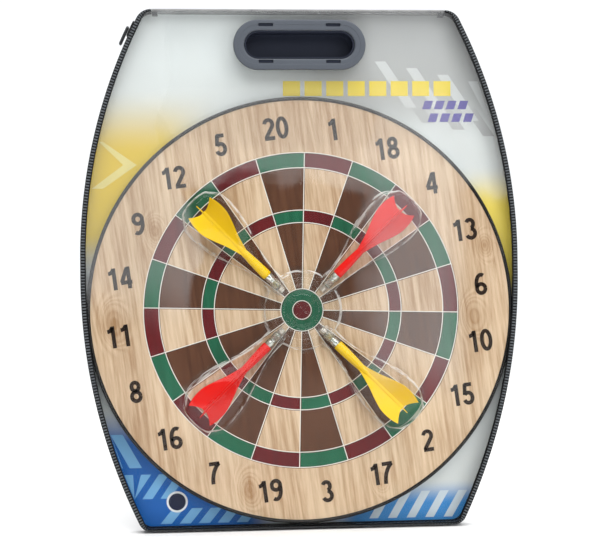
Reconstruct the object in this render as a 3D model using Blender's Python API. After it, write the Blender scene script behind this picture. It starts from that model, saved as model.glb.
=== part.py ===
"""Magnetic dartboard kept in a zipped carry case with a clear window.

Frame: +X right, +Z up, the player looks along +Y. The origin is on the case's flat rear face,
behind the bull. Lengths are in millimetres until they are put into a mesh. A point is
(x, depth, z), where depth is measured forward from the rear face, so that y = -depth.
"""
import math

import bmesh
import bpy
from mathutils import Matrix, Vector

MM = 0.001
GAP = 0.3  # clearance between pieces that touch

# Case outline, seen from the front: a barrel with flat ends
CASE_HALF_WIDTH = 196.0
CASE_TOP = 268.4
CASE_BOTTOM = -195.0
UPPER_SIDE = (477.0, 45.0)  # radius of the side's upper arc, height of its centre
LOWER_SIDE = (503.5, 30.0)
TOP_CORNER = 15.0
BOTTOM_CORNER = 12.0

# Layers from the rear face forward: (start, end)
PANEL = (0.0, 1.2)
CARD = (1.5, 2.1)
WALL = (1.5, 6.9)
TEETH_REAR = (7.2, 9.0)
TEETH_FRONT = (9.3, 11.1)
LIP = (11.4, 16.5)
SHEET = (15.0, 15.5)
TAPE_FACE = 15.8  # rear of the tape's front lip

# Edge stack, inwards from the case's outermost line: (start, end)
TEETH_IN = (0.0, 2.2)
ZIP_TAPE_IN = (0.6, 1.1)
WALL_IN = (1.4, 2.2)

# Hinge line of the front flap, along the top edge
HINGE_DEPTH = 15.25
HINGE_HEIGHT = CASE_TOP - 1.0

# Board
BOARD_R = 190.5
BOARD_DEPTH = (2.6, 14.6)
RIM_WALL = 1.0
RIM_LIP = 3.3
FACE = (13.2, 13.7)
PRINT_TURN = math.radians(7.55)  # the board sits turned anticlockwise in its case

# Grip
GRIP_Z = 236.0
GRIP_SPAN = 73.4  # distance between the centres of its round ends
BEZEL_R = 22.3
GRIP_HOLE_R = 12.5
BEZEL = (15.8, 19.4)
SLOT = (13.2, 2.9)
SLOT_PLACES = [(side * 30.0, rise) for side in (-1, 1) for rise in (17.5, -15.0)]

# Darts: distances run from the magnet's front face along the dart
DART_TIP_R = 24.0
DART_TIP_RISE = 3.9  # dart's axis above the board's face, at its tip
MAGNET_END = 4.8
BARREL_END = 20.0
SPIGOT_START = 13.0
# Flight stations: distance at the core, distance at the fin's edge, fin height
FLIGHT = [
    (50.0, 50.0, 3.6),
    (55.7, 55.7, 5.1),
    (65.7, 65.7, 8.5),
    (75.6, 75.6, 12.8),
    (85.0, 86.4, 16.7),
    (91.0, 94.4, 17.3),
    (96.0, 101.2, 16.4),
    (99.9, 106.2, 14.8),
]
# name: direction on the board, tilt away from it, direction of the first fin from the front
DARTS = {
    "dart_1": (135.0, 9.7, 180.0, "yellow"),
    "dart_2": (45.0, 4.0, 0.0, "red"),
    "dart_3": (225.0, 4.0, 0.0, "red"),
    "dart_4": (315.0, 9.7, 180.0, "yellow"),
}

# Clear tray over the darts
TRAY_WALL = 0.5
TRAY_FLANGE = 3.0
HUB_R = 36.0
# Pocket stations: distance from the bull, half width at the foot, height above the board's face
POCKET = [
    (35.0, 8.5, 11.5),
    (50.0, 8.8, 14.6),
    (62.0, 11.0, 17.0),
    (76.0, 16.0, 20.0),
    (92.0, 21.5, 25.0),
    (106.0, 24.0, 29.2),
    (118.0, 24.5, 31.0),
    (127.0, 22.0, 31.2),
    (133.5, 16.5, 30.8),
    (138.0, 0.0, 30.8),
]
# Levels up the pocket's wall: share of the height, share of the width given up, tip drawn in
LEVELS = [(0.0, 0.0, 0.0), (0.62, 0.06, 1.2), (0.94, 0.14, 2.6), (1.0, 0.26, 4.5), (1.03, 1.0, 8.0)]

# Window sheet: flat at its edges, tented over the tray
TENT = 32.5
TENT_FLAT = 100.0  # half width of the raised part
TENT_MARGIN = 8.0  # flat border along the sides
TENT_BOTTOM = -186.0
TENT_TOP = 204.0

for old in list(bpy.data.objects):
    bpy.data.objects.remove(old, do_unlink=True)


def finish(name, rgb, roughness, metallic=0.0, alpha=1.0):
    """A Principled material."""
    made = bpy.data.materials.new(name)
    made.use_nodes = True
    shader = made.node_tree.nodes["Principled BSDF"]
    shader.inputs["Base Color"].default_value = (*rgb, 1.0)
    shader.inputs["Roughness"].default_value = roughness
    shader.inputs["Metallic"].default_value = metallic
    shader.inputs["Alpha"].default_value = alpha
    made.diffuse_color = (*rgb, alpha)
    return made


BLACK_SHEET = finish("black_sheet", (0.02, 0.02, 0.022), 0.5)
BLACK_TAPE = finish("black_tape", (0.025, 0.025, 0.028), 0.8)
BLACK_TEETH = finish("black_teeth", (0.015, 0.015, 0.017), 0.35)
SLATE = finish("slate_plastic", (0.1, 0.11, 0.13), 0.4)
CARD_PRINT = finish("card_print", (0.6, 0.66, 0.68), 0.5)
CLEAR = finish("clear_sheet", (0.9, 0.95, 0.95), 0.08, alpha=0.2)
TINPLATE = finish("printed_tinplate", (0.62, 0.45, 0.28), 0.3, 0.3)
FIBREBOARD = finish("fibreboard", (0.4, 0.3, 0.2), 0.9)
RIM_BLACK = finish("rim_black", (0.02, 0.02, 0.022), 0.25)
BACK_PAPER = finish("back_paper", (0.03, 0.03, 0.03), 0.8)
ZINC = finish("zinc", (0.6, 0.6, 0.58), 0.35, 1.0)
NICKEL = finish("nickel", (0.75, 0.74, 0.7), 0.15, 1.0)
BARREL_METAL = finish("barrel_metal", (0.5, 0.51, 0.48), 0.3, 1.0)
FLIGHT_PLASTIC = {
    "yellow": finish("yellow_plastic", (0.87, 0.6, 0.01), 0.3),
    "red": finish("red_plastic", (0.75, 0.02, 0.01), 0.3),
}


def empty(name, at, parent=None, turn=None):
    """An axis marker: its children move with it."""
    marker = bpy.data.objects.new(name, None)
    bpy.context.collection.objects.link(marker)
    marker.matrix_world = Matrix.Translation(at) @ (turn or Matrix.Identity(4))
    if parent:
        marker.parent = parent
        marker.location = marker.location - parent.location
    return marker


def front(point):
    """(x, depth, z) in millimetres to metres in the part's frame."""
    x, depth, z = point
    return Vector((x, -depth, z)) * MM


def along(point):
    """(distance, across, up) in millimetres in a dart's own frame."""
    return Vector(point) * MM


def quad(low, high, i, j):
    """One four-sided face between two loops."""
    return [(low[i], low[j], high[j], high[i])]


def going_out(low, high, i, j):
    """Two triangles, split from low[i] to high[j]."""
    return [(low[i], low[j], high[j]), (low[i], high[j], high[i])]


def coming_back(low, high, i, j):
    """Two triangles, split the other way, to lie under those of going_out."""
    return [(low[i], low[j], high[i]), (low[j], high[j], high[i])]


def loft(
    name,
    loops,
    material,
    parent,
    ring=False,
    put=front,
    smooth=35.0,
    at_parent=False,
    back_from=None,
    caps=True,
):
    """A closed solid through loops with equal numbers of points, capped or joined to a ring.

    A thin shell's loops go out over its front and back under it: from loop back_from on, faces
    are split so that both skins have the same creases and can't cross.
    """
    mesh = bpy.data.meshes.new(name)
    bm = bmesh.new()
    rows = [[bm.verts.new(put(point)) for point in loop] for loop in loops]
    pairs = list(zip(rows, rows[1:] + rows[:1] if ring else rows[1:]))
    for step, (low, high) in enumerate(pairs):
        split = quad
        if back_from is not None:
            split = going_out if step < back_from else coming_back
        for i in range(len(low)):
            for corners in split(low, high, i, (i + 1) % len(low)):
                bm.faces.new(corners)
    if caps and not ring:
        bm.faces.new(rows[0])
        bm.faces.new(rows[-1])
    bmesh.ops.remove_doubles(bm, verts=bm.verts, dist=0.00002)
    bmesh.ops.recalc_face_normals(bm, faces=bm.faces)
    bm.to_mesh(mesh)
    bm.free()
    mesh.shade_smooth()
    mesh.set_sharp_from_angle(angle=math.radians(smooth))
    piece = bpy.data.objects.new(name, mesh)
    piece.data.materials.append(material)
    bpy.context.collection.objects.link(piece)
    piece.parent = parent
    if not at_parent:
        piece.location = -parent.location
    return piece


def combine(piece, tool, operation):
    """Joins a guide solid to a piece, or cuts it away."""
    tool.hide_render = True
    tool.display_type = "WIRE"
    boolean = piece.modifiers.new(tool.name, "BOOLEAN")
    boolean.operation = operation
    boolean.object = tool


def arc(centre, radius, start, end, count):
    """Points with their outward normals along an arc in the XZ plane, angles in radians."""
    angles = [start + (end - start) * i / count for i in range(count + 1)]
    return [
        (centre[0] + radius * math.cos(a), centre[1] + radius * math.sin(a), math.cos(a), math.sin(a))
        for a in angles
    ]


def corner_centre(side, edge, radius):
    """Centre of the round that joins a side's arc to a flat edge at height edge."""
    side_r, side_z = side
    z = edge - math.copysign(radius, edge)
    reach = math.sqrt((side_r - radius) ** 2 - (z - side_z) ** 2)
    return (CASE_HALF_WIDTH - side_r + reach, z)


def right_side():
    """The case's right side from the bottom edge up to the top edge, as (x, z, nx, nz)."""
    low = corner_centre(LOWER_SIDE, CASE_BOTTOM, BOTTOM_CORNER)
    high = corner_centre(UPPER_SIDE, CASE_TOP, TOP_CORNER)
    low_side = (CASE_HALF_WIDTH - LOWER_SIDE[0], LOWER_SIDE[1])
    high_side = (CASE_HALF_WIDTH - UPPER_SIDE[0], UPPER_SIDE[1])
    low_join = math.atan2(low[1] - low_side[1], low[0] - low_side[0])
    high_join = math.atan2(high[1] - high_side[1], high[0] - high_side[0])
    return (
        arc(low, BOTTOM_CORNER, -math.pi / 2, low_join, 4)[:-1]
        + arc(low_side, LOWER_SIDE[0], low_join, 0.0, 10)
        + arc(high_side, UPPER_SIDE[0], 0.0, high_join, 10)
        + arc(high, TOP_CORNER, high_join, math.pi / 2, 4)[1:]
    )


RIGHT = right_side()
LEFT = [(-x, z, -nx, nz) for x, z, nx, nz in reversed(RIGHT)]
ZIP_PATH = LEFT + RIGHT  # down the left side, along the bottom, up the right side
BOTTOM_EDGE = [LEFT[-1], RIGHT[0]]
TOP_EDGE = [RIGHT[-1], LEFT[0]]


def drawn_in(station, inset):
    """The (x, z) of a path station moved inwards."""
    x, z, nx, nz = station
    return (x - nx * inset, z - nz * inset)


def strip(name, path, inset, depth, material, parent):
    """A flat band of rectangular section that follows the case's edge."""
    sections = []
    for station in path:
        outer = drawn_in(station, inset[0])
        inner = drawn_in(station, inset[1])
        sections.append(
            [
                (outer[0], depth[0], outer[1]),
                (outer[0], depth[1], outer[1]),
                (inner[0], depth[1], inner[1]),
                (inner[0], depth[0], inner[1]),
            ]
        )
    return loft(name, sections, material, parent)


def shortened(path, cut):
    """A straight two-station path with a gap left at each end."""
    (x0, z0, nx0, nz0), (x1, z1, nx1, nz1) = path
    step = math.copysign(cut, x1 - x0)
    return [(x0 + step, z0, nx0, nz0), (x1 - step, z1, nx1, nz1)]


def plate(name, path, inset, depth, material, parent):
    """A flat sheet that fills the case's outline."""
    points = [drawn_in(station, inset) for station in path]
    return loft(name, [[(x, d, z) for x, z in points] for d in depth], material, parent)


case_body = empty("case_body", Vector((0, 0, 0)))
flap_axis = empty("flap_axis", front((0, HINGE_DEPTH, HINGE_HEIGHT)))
board_axis = empty("board_axis", Vector((0, 0, 0)))
tray_axis = empty("tray_axis", Vector((0, 0, 0)), board_axis)

# --- Case: black rear panel, side walls, printed card -------------------------------------------
plate("rear_panel", RIGHT + LEFT, WALL_IN[0], PANEL, BLACK_SHEET, case_body)
plate("card_insert", RIGHT + LEFT, WALL_IN[1] + GAP, CARD, CARD_PRINT, case_body)
strip("gusset_left", LEFT, WALL_IN, WALL, BLACK_SHEET, case_body)
strip("gusset_right", RIGHT, WALL_IN, WALL, BLACK_SHEET, case_body)
strip("gusset_bottom", shortened(BOTTOM_EDGE, GAP), WALL_IN, WALL, BLACK_SHEET, case_body)
strip("gusset_top", shortened(TOP_EDGE, GAP), WALL_IN, (WALL[0], 14.7), CLEAR, case_body)
strip("top_fold", shortened(TOP_EDGE, GAP), (0.3, 1.1), (0.3, 14.7), CLEAR, case_body)

# --- Zip: tape and moulded teeth on the case, the same on the flap ------------------------------
strip("zip_tape_rear", ZIP_PATH, ZIP_TAPE_IN, (1.5, WALL[1]), BLACK_TAPE, case_body)
strip("zip_teeth_rear", ZIP_PATH, TEETH_IN, TEETH_REAR, BLACK_TEETH, case_body)
strip("zip_teeth_front", ZIP_PATH, TEETH_IN, TEETH_FRONT, BLACK_TEETH, flap_axis)
strip("zip_tape_front", ZIP_PATH, ZIP_TAPE_IN, (LIP[0], 15.5), BLACK_TAPE, flap_axis)

SLIDER_ANGLE = math.radians(25.6)  # up the left side's upper arc, where the zip is closed
SLIDER_HALF = math.radians(0.9)
SLIDER_CENTRE = (UPPER_SIDE[0] - CASE_HALF_WIDTH, UPPER_SIDE[1])
PULLER_LENGTH = 17.0
PULLER_TAIL = 0.9  # past its pivot
PIVOT_OUT = 3.3  # from the case's edge
PULLER_HALF = 1.2


def left_arc(low, high, count):
    """Stations along the left side's upper arc between two angles above the horizontal."""
    return arc(SLIDER_CENTRE, UPPER_SIDE[0], math.pi - low, math.pi - high, count)


def hooked_section(station, outer, inner, hook, depth):
    """Section of the slider: a plate outside the teeth and a flange behind them."""
    rear, front_edge = depth
    face, back = drawn_in(station, outer), drawn_in(station, inner)
    toe = drawn_in(station, hook)
    return [
        (face[0], rear, face[1]),
        (face[0], front_edge, face[1]),
        (back[0], front_edge, back[1]),
        (back[0], rear + 1.2, back[1]),
        (toe[0], rear + 1.2, toe[1]),
        (toe[0], rear, toe[1]),
    ]


slider_axis = empty("slider_axis", front((SLIDER_CENTRE[0], 9.15, SLIDER_CENTRE[1])))
slider_path = left_arc(SLIDER_ANGLE - SLIDER_HALF, SLIDER_ANGLE + SLIDER_HALF, 4)
loft(
    "zip_slider",
    [hooked_section(s, -1.4, -GAP, 0.3, (4.2, 12.6)) for s in slider_path],
    BLACK_TEETH,
    slider_axis,
)
pivot = drawn_in(left_arc(SLIDER_ANGLE, SLIDER_ANGLE, 1)[0], -PIVOT_OUT)
puller_axis = empty("puller_axis", front((pivot[0], 9.15, pivot[1])))
puller_path = left_arc(
    SLIDER_ANGLE - PULLER_LENGTH / UPPER_SIDE[0], SLIDER_ANGLE + PULLER_TAIL / UPPER_SIDE[0], 3
)
puller_in = (-PIVOT_OUT - PULLER_HALF, PULLER_HALF - PIVOT_OUT)
strip("zip_puller", puller_path, puller_in, (6.4, 11.9), BLACK_TEETH, puller_axis)
for side, name in ((-1, "left"), (1, "right")):
    stop_x = RIGHT[-1][0] - GAP - 2.8
    stop_z = CASE_TOP - TEETH_IN[1]
    loft(
        f"zip_stop_{name}",
        [
            [
                (side * stop_x + dx, depth, stop_z + dz)
                for dx, dz in ((-2.5, -3.4), (2.5, -3.4), (2.5, -GAP), (-2.5, -GAP))
            ]
            for depth in (7.2, 11.1)
        ],
        BLACK_TEETH,
        case_body,
    )

# --- Flap: bound edge and clear window ----------------------------------------------------------
BINDING = 5.0  # its reach in from the case's edge


def bound_section(station):
    """L-shaped section: a lip down the side and a lip over the window's edge."""
    reach = BINDING * (1 - 0.6 * abs(station[3]) ** 4)
    outer, inner = drawn_in(station, WALL_IN[0]), drawn_in(station, WALL_IN[1])
    edge = drawn_in(station, max(reach, WALL_IN[1] + 0.3))
    return [
        (outer[0], LIP[0], outer[1]),
        (outer[0], LIP[1], outer[1]),
        (edge[0], LIP[1], edge[1]),
        (edge[0], TAPE_FACE, edge[1]),
        (inner[0], TAPE_FACE, inner[1]),
        (inner[0], LIP[0], inner[1]),
    ]


loft("edge_binding", [bound_section(s) for s in ZIP_PATH], BLACK_TAPE, flap_axis)


def eased(value):
    """Smooth step from 0 to 1."""
    t = min(1.0, max(0.0, value))
    return t * t * (3 - 2 * t)


def half_width(z):
    """Half the case's width at a height."""
    radius, centre_z = UPPER_SIDE if z > UPPER_SIDE[1] else LOWER_SIDE
    return CASE_HALF_WIDTH - radius + math.sqrt(radius**2 - (z - centre_z) ** 2)


def tent(x, z):
    """How far the window stands proud of its flat edge."""
    side = half_width(z) - TENT_MARGIN
    edge = TENT_TOP if z > 0 else -TENT_BOTTOM
    across = eased((side - abs(x)) / (side - TENT_FLAT))
    return TENT * across * eased((edge - abs(z)) / (edge - TENT_FLAT))


def sheet_loop(share, depth):
    """The window's outline drawn towards the bull, laid on the tent."""
    points = [drawn_in(station, WALL_IN[1] + GAP) for station in RIGHT + LEFT]
    return [(x * share, depth + tent(x * share, z * share), z * share) for x, z in points]


SHEET_SHARES = [0.15, 0.45, 0.55, 0.64, 0.72, 0.8, 0.88, 0.95, 1.0]
sheet_loops = [sheet_loop(share, SHEET[1]) for share in SHEET_SHARES]
sheet_loops += [sheet_loop(share, SHEET[0]) for share in reversed(SHEET_SHARES)]
window = loft(
    "window_sheet", sheet_loops, CLEAR, flap_axis, smooth=60.0, back_from=len(SHEET_SHARES)
)

# --- Grip: bezel in front of the window, cup clipped in from behind -----------------------------


def stadium(radius, depth, count=9):
    """Closed outline with two round ends, centred on the grip."""
    points = []
    for side, start in ((1, -math.pi / 2), (-1, math.pi / 2)):
        for i in range(count + 1):
            a = start + math.pi * i / count
            points.append(
                (side * GRIP_SPAN / 2 + radius * math.cos(a), depth, GRIP_Z + radius * math.sin(a))
            )
    return points


def block(name, centre, size, depth, parent, material):
    """A rectangular block, given by its middle and size in x and z and its depths."""
    corners = [(-0.5, -0.5), (0.5, -0.5), (0.5, 0.5), (-0.5, 0.5)]
    loops = [
        [(centre[0] + size[0] * u, d, centre[1] + size[1] * v) for u, v in corners] for d in depth
    ]
    return loft(name, loops, material, parent)


SHEET_HOLE_R = 18.9
hole = loft(
    "sheet_hole", [stadium(SHEET_HOLE_R, d) for d in (10.0, 20.0)], SLATE, flap_axis
)
combine(window, hole, "DIFFERENCE")

bezel_profile = [
    (BEZEL_R, BEZEL[0]),
    (BEZEL_R, BEZEL[1] - 1.4),
    (BEZEL_R - 1.4, BEZEL[1]),
    (GRIP_HOLE_R + 1.6, BEZEL[1]),
    (GRIP_HOLE_R, BEZEL[1] - 1.6),
    (GRIP_HOLE_R, BEZEL[0]),
]
bezel = loft(
    "handle_bezel", [stadium(r, d) for r, d in bezel_profile], SLATE, flap_axis, ring=True
)
CUP_WALL = 1.2
CUP_FLOOR = 3.0
CUP_RIM = 17.6
FLANGE = (13.9, 14.7)
cup_r = GRIP_HOLE_R - GAP
cup_profile = [
    (cup_r - 1.4, CUP_FLOOR),
    (cup_r, CUP_FLOOR + 1.4),
    (cup_r, FLANGE[0]),
    (BEZEL_R - 0.8, FLANGE[0]),
    (BEZEL_R - 0.8, FLANGE[1]),
    (cup_r, FLANGE[1]),
    (cup_r, CUP_RIM),
    (cup_r - CUP_WALL, CUP_RIM),
    (cup_r - CUP_WALL, CUP_FLOOR + 2.4),
    (cup_r - CUP_WALL - 1.2, CUP_FLOOR + CUP_WALL),
]
cup = loft("handle_cup", [stadium(r, d) for r, d in cup_profile], SLATE, flap_axis)
for index, (slot_x, rise) in enumerate(SLOT_PLACES, 1):
    place = (slot_x, GRIP_Z + rise)
    slot = block(f"slot_{index}", place, SLOT, (BEZEL[0] - 1, BEZEL[1] + 1), flap_axis, SLATE)
    combine(bezel, slot, "DIFFERENCE")
    hook_size = (SLOT[0] - 2 * GAP, SLOT[1] - 2 * GAP)
    hook = block(f"hook_{index}", place, hook_size, (FLANGE[1] - 0.4, BEZEL[1] - 1.2), flap_axis, SLATE)
    combine(cup, hook, "UNION")

# --- Board: rolled rim, printed steel face, fibreboard core, backing, hanger --------------------
ROUND = 72


def circle(radius, depth, centre=(0.0, 0.0), count=ROUND):
    """Closed round outline facing the player."""
    return [
        (
            centre[0] + radius * math.cos(2 * math.pi * i / count),
            depth,
            centre[1] + radius * math.sin(2 * math.pi * i / count),
        )
        for i in range(count)
    ]


def disc(name, radius, depth, material, parent, **where):
    """A round plate."""
    return loft(name, [circle(radius, d, **where) for d in depth], material, parent)


rim_in = BOARD_R - RIM_WALL
rim_profile = [
    (BOARD_R, BOARD_DEPTH[0] + 1.0),
    (BOARD_R, BOARD_DEPTH[1] - 1.2),
    (BOARD_R - 1.2, BOARD_DEPTH[1]),
    (BOARD_R - RIM_LIP, BOARD_DEPTH[1] - 0.3),
    (BOARD_R - RIM_LIP, FACE[1] + GAP),
    (rim_in, FACE[1] + GAP),
    (rim_in, BOARD_DEPTH[0] + 1.6),
    (BOARD_R - RIM_LIP, BOARD_DEPTH[0] + 0.9),
    (BOARD_R - RIM_LIP, BOARD_DEPTH[0]),
    (BOARD_R - 1.0, BOARD_DEPTH[0]),
]
loft("board_rim", [circle(r, d) for r, d in rim_profile], RIM_BLACK, board_axis, ring=True)
INSIDE_R = rim_in - GAP
disc("face_sheet", INSIDE_R, FACE, TINPLATE, board_axis)
CORE = (5.3, FACE[0] - GAP)
BACKING = (4.6, 5.0)
core = disc("core_disc", INSIDE_R, CORE, FIBREBOARD, board_axis)
backing = disc("backing_sheet", INSIDE_R, BACKING, BACK_PAPER, board_axis)

# Keyhole hanger, riveted to the backing on the side where 20 is
HANGER = (3.5, 4.3)
HANGER_R = 150.0
RIVET_APART = 13.0
up = (-math.sin(PRINT_TURN), math.cos(PRINT_TURN))
across = (math.cos(PRINT_TURN), math.sin(PRINT_TURN))


def on_board(sideways, upwards):
    """A point of the turned board as (x, z)."""
    return (
        sideways * across[0] + upwards * up[0],
        sideways * across[1] + upwards * up[1],
    )


def turned_plate(name, half_width, half_height, depth, material):
    """A rectangular plate square to the turned board, around the hanger's place."""
    corners = [
        on_board(u * half_width, HANGER_R + v * half_height)
        for u, v in ((-1, -1), (1, -1), (1, 1), (-1, 1))
    ]
    return loft(name, [[(x, d, z) for x, z in corners] for d in depth], material, board_axis)


hanger = turned_plate("hanger_plate", 20.0, 11.0, HANGER, ZINC)
keyhole = turned_plate("keyhole_slot", 2.2, 7.5, (HANGER[0] - 1, HANGER[1] + 1), ZINC)
combine(hanger, keyhole, "DIFFERENCE")
eye = on_board(0.0, HANGER_R - 4.0)
eye_hole = disc("keyhole_eye", 4.4, (HANGER[0] - 1, HANGER[1] + 1), ZINC, board_axis, centre=eye, count=16)
combine(hanger, eye_hole, "DIFFERENCE")
RIVET_HEAD_R, RIVET_R = 3.0, 1.5
for index, side in enumerate((-1, 1), 1):
    place = on_board(side * RIVET_APART, HANGER_R)
    bore = disc(f"rivet_bore_{index}", RIVET_R + GAP, (3.0, 8.3), ZINC, board_axis, centre=place, count=12)
    for piece in (hanger, backing, core):
        combine(piece, bore, "DIFFERENCE")
    profile = [
        (RIVET_HEAD_R - 0.6, 2.75),
        (RIVET_HEAD_R, HANGER[0] - GAP),
        (RIVET_R, HANGER[0] - GAP),
        (RIVET_R, 8.0),
    ]
    loops = [circle(r, d, place, 12) for r, d in profile]
    loft(f"hanger_rivet_{index}", loops, ZINC, board_axis)

# --- Clear tray: four leaf-shaped pockets around a low hub --------------------------------------
FACE_RISE = FACE[1] + GAP
HUB_STEPS = 3


def tray_loop(rise, width_lost, tip_lost, wall):
    """One closed line around the tray: four pockets joined by arcs of the hub."""
    points = []
    grown = TRAY_FLANGE if rise is None else -wall
    for name in ("dart_2", "dart_1", "dart_3", "dart_4"):
        angle = math.radians(DARTS[name][0])
        out = Vector((math.cos(angle), math.sin(angle)))
        side = Vector((math.sin(angle), -math.cos(angle)))
        tip_r = POCKET[-1][0] - tip_lost + grown
        root_r = POCKET[0][0]
        for hand in (1, -1):
            stations = POCKET if hand == 1 else POCKET[-2::-1]
            for place, width, height in stations:
                stretch = (place - root_r) / (POCKET[-1][0] - root_r)
                r = root_r * (1 - width_lost) + (tip_r - root_r * (1 - width_lost)) * stretch
                w = max(0.0, width + grown if width else 0.0) * (1 - width_lost)
                spot = out * r + side * w * hand
                level = 0.0 if rise is None else rise * height
                points.append((spot, level))
        for step in range(1, HUB_STEPS + 1):
            gap_angle = angle + math.radians(45 + (step - 2) * 14)
            r = (HUB_R + grown) * (1 - width_lost)
            spot = Vector((math.cos(gap_angle), math.sin(gap_angle))) * r
            points.append((spot, 0.0 if rise is None else rise * POCKET[0][2]))
    return points


def tray_skin(levels, wall, lift):
    """The loops of one side of the tray, from its foot up."""
    loops = []
    for rise, width_lost, tip_lost in levels:
        loop = tray_loop(rise, width_lost, tip_lost, wall)
        base = FACE_RISE if rise == 0 and wall else FACE_RISE + lift
        loops.append([(spot.x, base + level, spot.y) for spot, level in loop])
    return loops


def flange_loop(depth):
    """The tray's outer edge."""
    return [(spot.x, depth, spot.y) for spot, _ in tray_loop(None, 0.0, 0.0, 0.0)]


outside = tray_skin(LEVELS, 0.0, TRAY_WALL)
inside = tray_skin(LEVELS, TRAY_WALL, 0.0)
tray_loops = outside[::-1] + [flange_loop(FACE_RISE + TRAY_WALL), flange_loop(FACE_RISE)] + inside


# The first and last loops close up along the pockets' middle lines, so they need no caps
loft(
    "blister_tray",
    tray_loops,
    CLEAR,
    tray_axis,
    smooth=50.0,
    at_parent=True,
    back_from=len(LEVELS) + 1,
    caps=False,
)

# --- Darts: magnet, hollow metal barrel, one-piece plastic shaft and flight ---------------------


def turned(distance, radius, count=16):
    """A round section square to the dart's axis."""
    return [
        (
            distance,
            radius * math.cos(2 * math.pi * i / count),
            radius * math.sin(2 * math.pi * i / count),
        )
        for i in range(count)
    ]


CORE_R = 2.2
FIN_HALF = 0.55
BARREL_PROFILE = [
    (MAGNET_END + GAP, 2.6),
    (6.0, 3.5),
    (7.5, 4.0),
    (12.6, 4.0),
    (13.2, 3.4),
    (14.2, 3.4),
    (14.8, 4.0),
    (BARREL_END, 4.0),
    (BARREL_END, 1.9),
    (SPIGOT_START - GAP, 1.9),
    (SPIGOT_START - GAP, 0.4),
]


def star(core_at, edge_at, height, first_fin):
    """A section of the flight: a core with three fins, 15 points."""
    points = []
    for fin in range(3):
        heading = math.radians(first_fin + 120 * fin)
        for turn, at, reach, thick in (
            (0, core_at, CORE_R, -FIN_HALF),
            (0, edge_at, height, -FIN_HALF * 0.7),
            (0, edge_at, height, FIN_HALF * 0.7),
            (0, core_at, CORE_R, FIN_HALF),
            (60, core_at, CORE_R, 0.0),
        ):
            a = heading + math.radians(turn)
            across_fin = reach * math.sin(a) + thick * math.cos(a)
            upwards = reach * math.cos(a) - thick * math.sin(a)
            points.append((at, across_fin, upwards))
    return points


def star_circle(distance, radius, first_fin):
    """A round section with the star's 15 points."""
    points = []
    for fin in range(3):
        for turn in (-18, -6, 6, 18, 60):
            a = math.radians(first_fin + 120 * fin + turn)
            points.append((distance, radius * math.sin(a), radius * math.cos(a)))
    return points


def dart(name, heading, tilt, first_fin, colour):
    """Places one dart with its magnet near the bull, leaning away from the board."""
    angle, lean = math.radians(heading), math.radians(tilt)
    out = Vector((math.cos(angle), 0, math.sin(angle)))
    forward = Vector((0, -1, 0))
    axis_x = out * math.cos(lean) + forward * math.sin(lean)
    axis_z = forward * math.cos(lean) - out * math.sin(lean)
    axis_y = axis_z.cross(axis_x)
    turn = Matrix((axis_x, axis_y, axis_z)).transposed().to_4x4()
    tip = out * DART_TIP_R * MM + forward * (FACE[1] + DART_TIP_RISE) * MM
    frame = empty(f"{name}_axis", tip, board_axis, turn)
    magnet = [turned(0.0, 2.9), turned(0.4, 3.3), turned(MAGNET_END, 3.3)]
    loft(f"{name}_magnet", magnet, NICKEL, frame, put=along, at_parent=True)
    barrel = [turned(s, r) for s, r in BARREL_PROFILE]
    loft(f"{name}_barrel", barrel, BARREL_METAL, frame, put=along, at_parent=True)
    shaft = [(SPIGOT_START, 1.5), (BARREL_END + GAP, 1.5), (BARREL_END + GAP, 4.4), (30.0, 4.3)]
    loops = [star_circle(s, r, first_fin) for s, r in shaft + [(40.0, 3.9), (48.0, 3.4)]]
    loops += [star(*station, first_fin) for station in FLIGHT]
    loft(f"{name}_flight", loops, FLIGHT_PLASTIC[colour], frame, put=along, at_parent=True)


for dart_name, (heading, tilt, first_fin, colour) in DARTS.items():
    dart(dart_name, heading, tilt, first_fin, colour)
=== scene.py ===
import math

import bmesh
import bpy
import numpy as np
from mathutils import Matrix, Vector


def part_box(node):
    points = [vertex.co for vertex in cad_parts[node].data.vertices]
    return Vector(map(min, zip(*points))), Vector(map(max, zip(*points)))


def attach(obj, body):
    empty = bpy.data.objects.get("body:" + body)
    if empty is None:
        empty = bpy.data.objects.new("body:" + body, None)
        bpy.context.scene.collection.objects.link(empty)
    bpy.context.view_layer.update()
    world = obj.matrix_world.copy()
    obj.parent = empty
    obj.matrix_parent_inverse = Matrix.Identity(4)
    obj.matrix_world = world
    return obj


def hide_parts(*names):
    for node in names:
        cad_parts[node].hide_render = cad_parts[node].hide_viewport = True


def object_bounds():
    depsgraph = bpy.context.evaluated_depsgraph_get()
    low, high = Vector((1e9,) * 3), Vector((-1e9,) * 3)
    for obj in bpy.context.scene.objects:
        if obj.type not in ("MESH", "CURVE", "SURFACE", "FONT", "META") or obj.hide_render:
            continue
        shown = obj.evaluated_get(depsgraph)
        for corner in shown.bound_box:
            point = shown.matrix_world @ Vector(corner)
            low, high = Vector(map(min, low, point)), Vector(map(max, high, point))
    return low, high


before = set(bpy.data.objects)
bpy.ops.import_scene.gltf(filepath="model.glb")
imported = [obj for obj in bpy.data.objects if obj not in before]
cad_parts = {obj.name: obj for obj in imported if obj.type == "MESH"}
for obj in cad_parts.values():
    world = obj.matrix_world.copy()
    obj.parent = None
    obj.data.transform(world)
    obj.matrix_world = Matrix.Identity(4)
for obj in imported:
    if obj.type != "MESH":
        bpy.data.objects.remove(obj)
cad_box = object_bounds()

# --- Case back and walls ------------------------------------------------------------------------
# The case is a shallow bag of black PVC sheet with a fine leather-like emboss. The back is one flat
# panel stiffened with board; the walls are strips of the same sheet, welded to it along the edge.
MM = 0.001
CASE_HALF_WIDTH = cad_box[1].x / MM
CASE_TOP = cad_box[1].z / MM
CASE_BOTTOM = cad_box[0].z / MM
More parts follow.
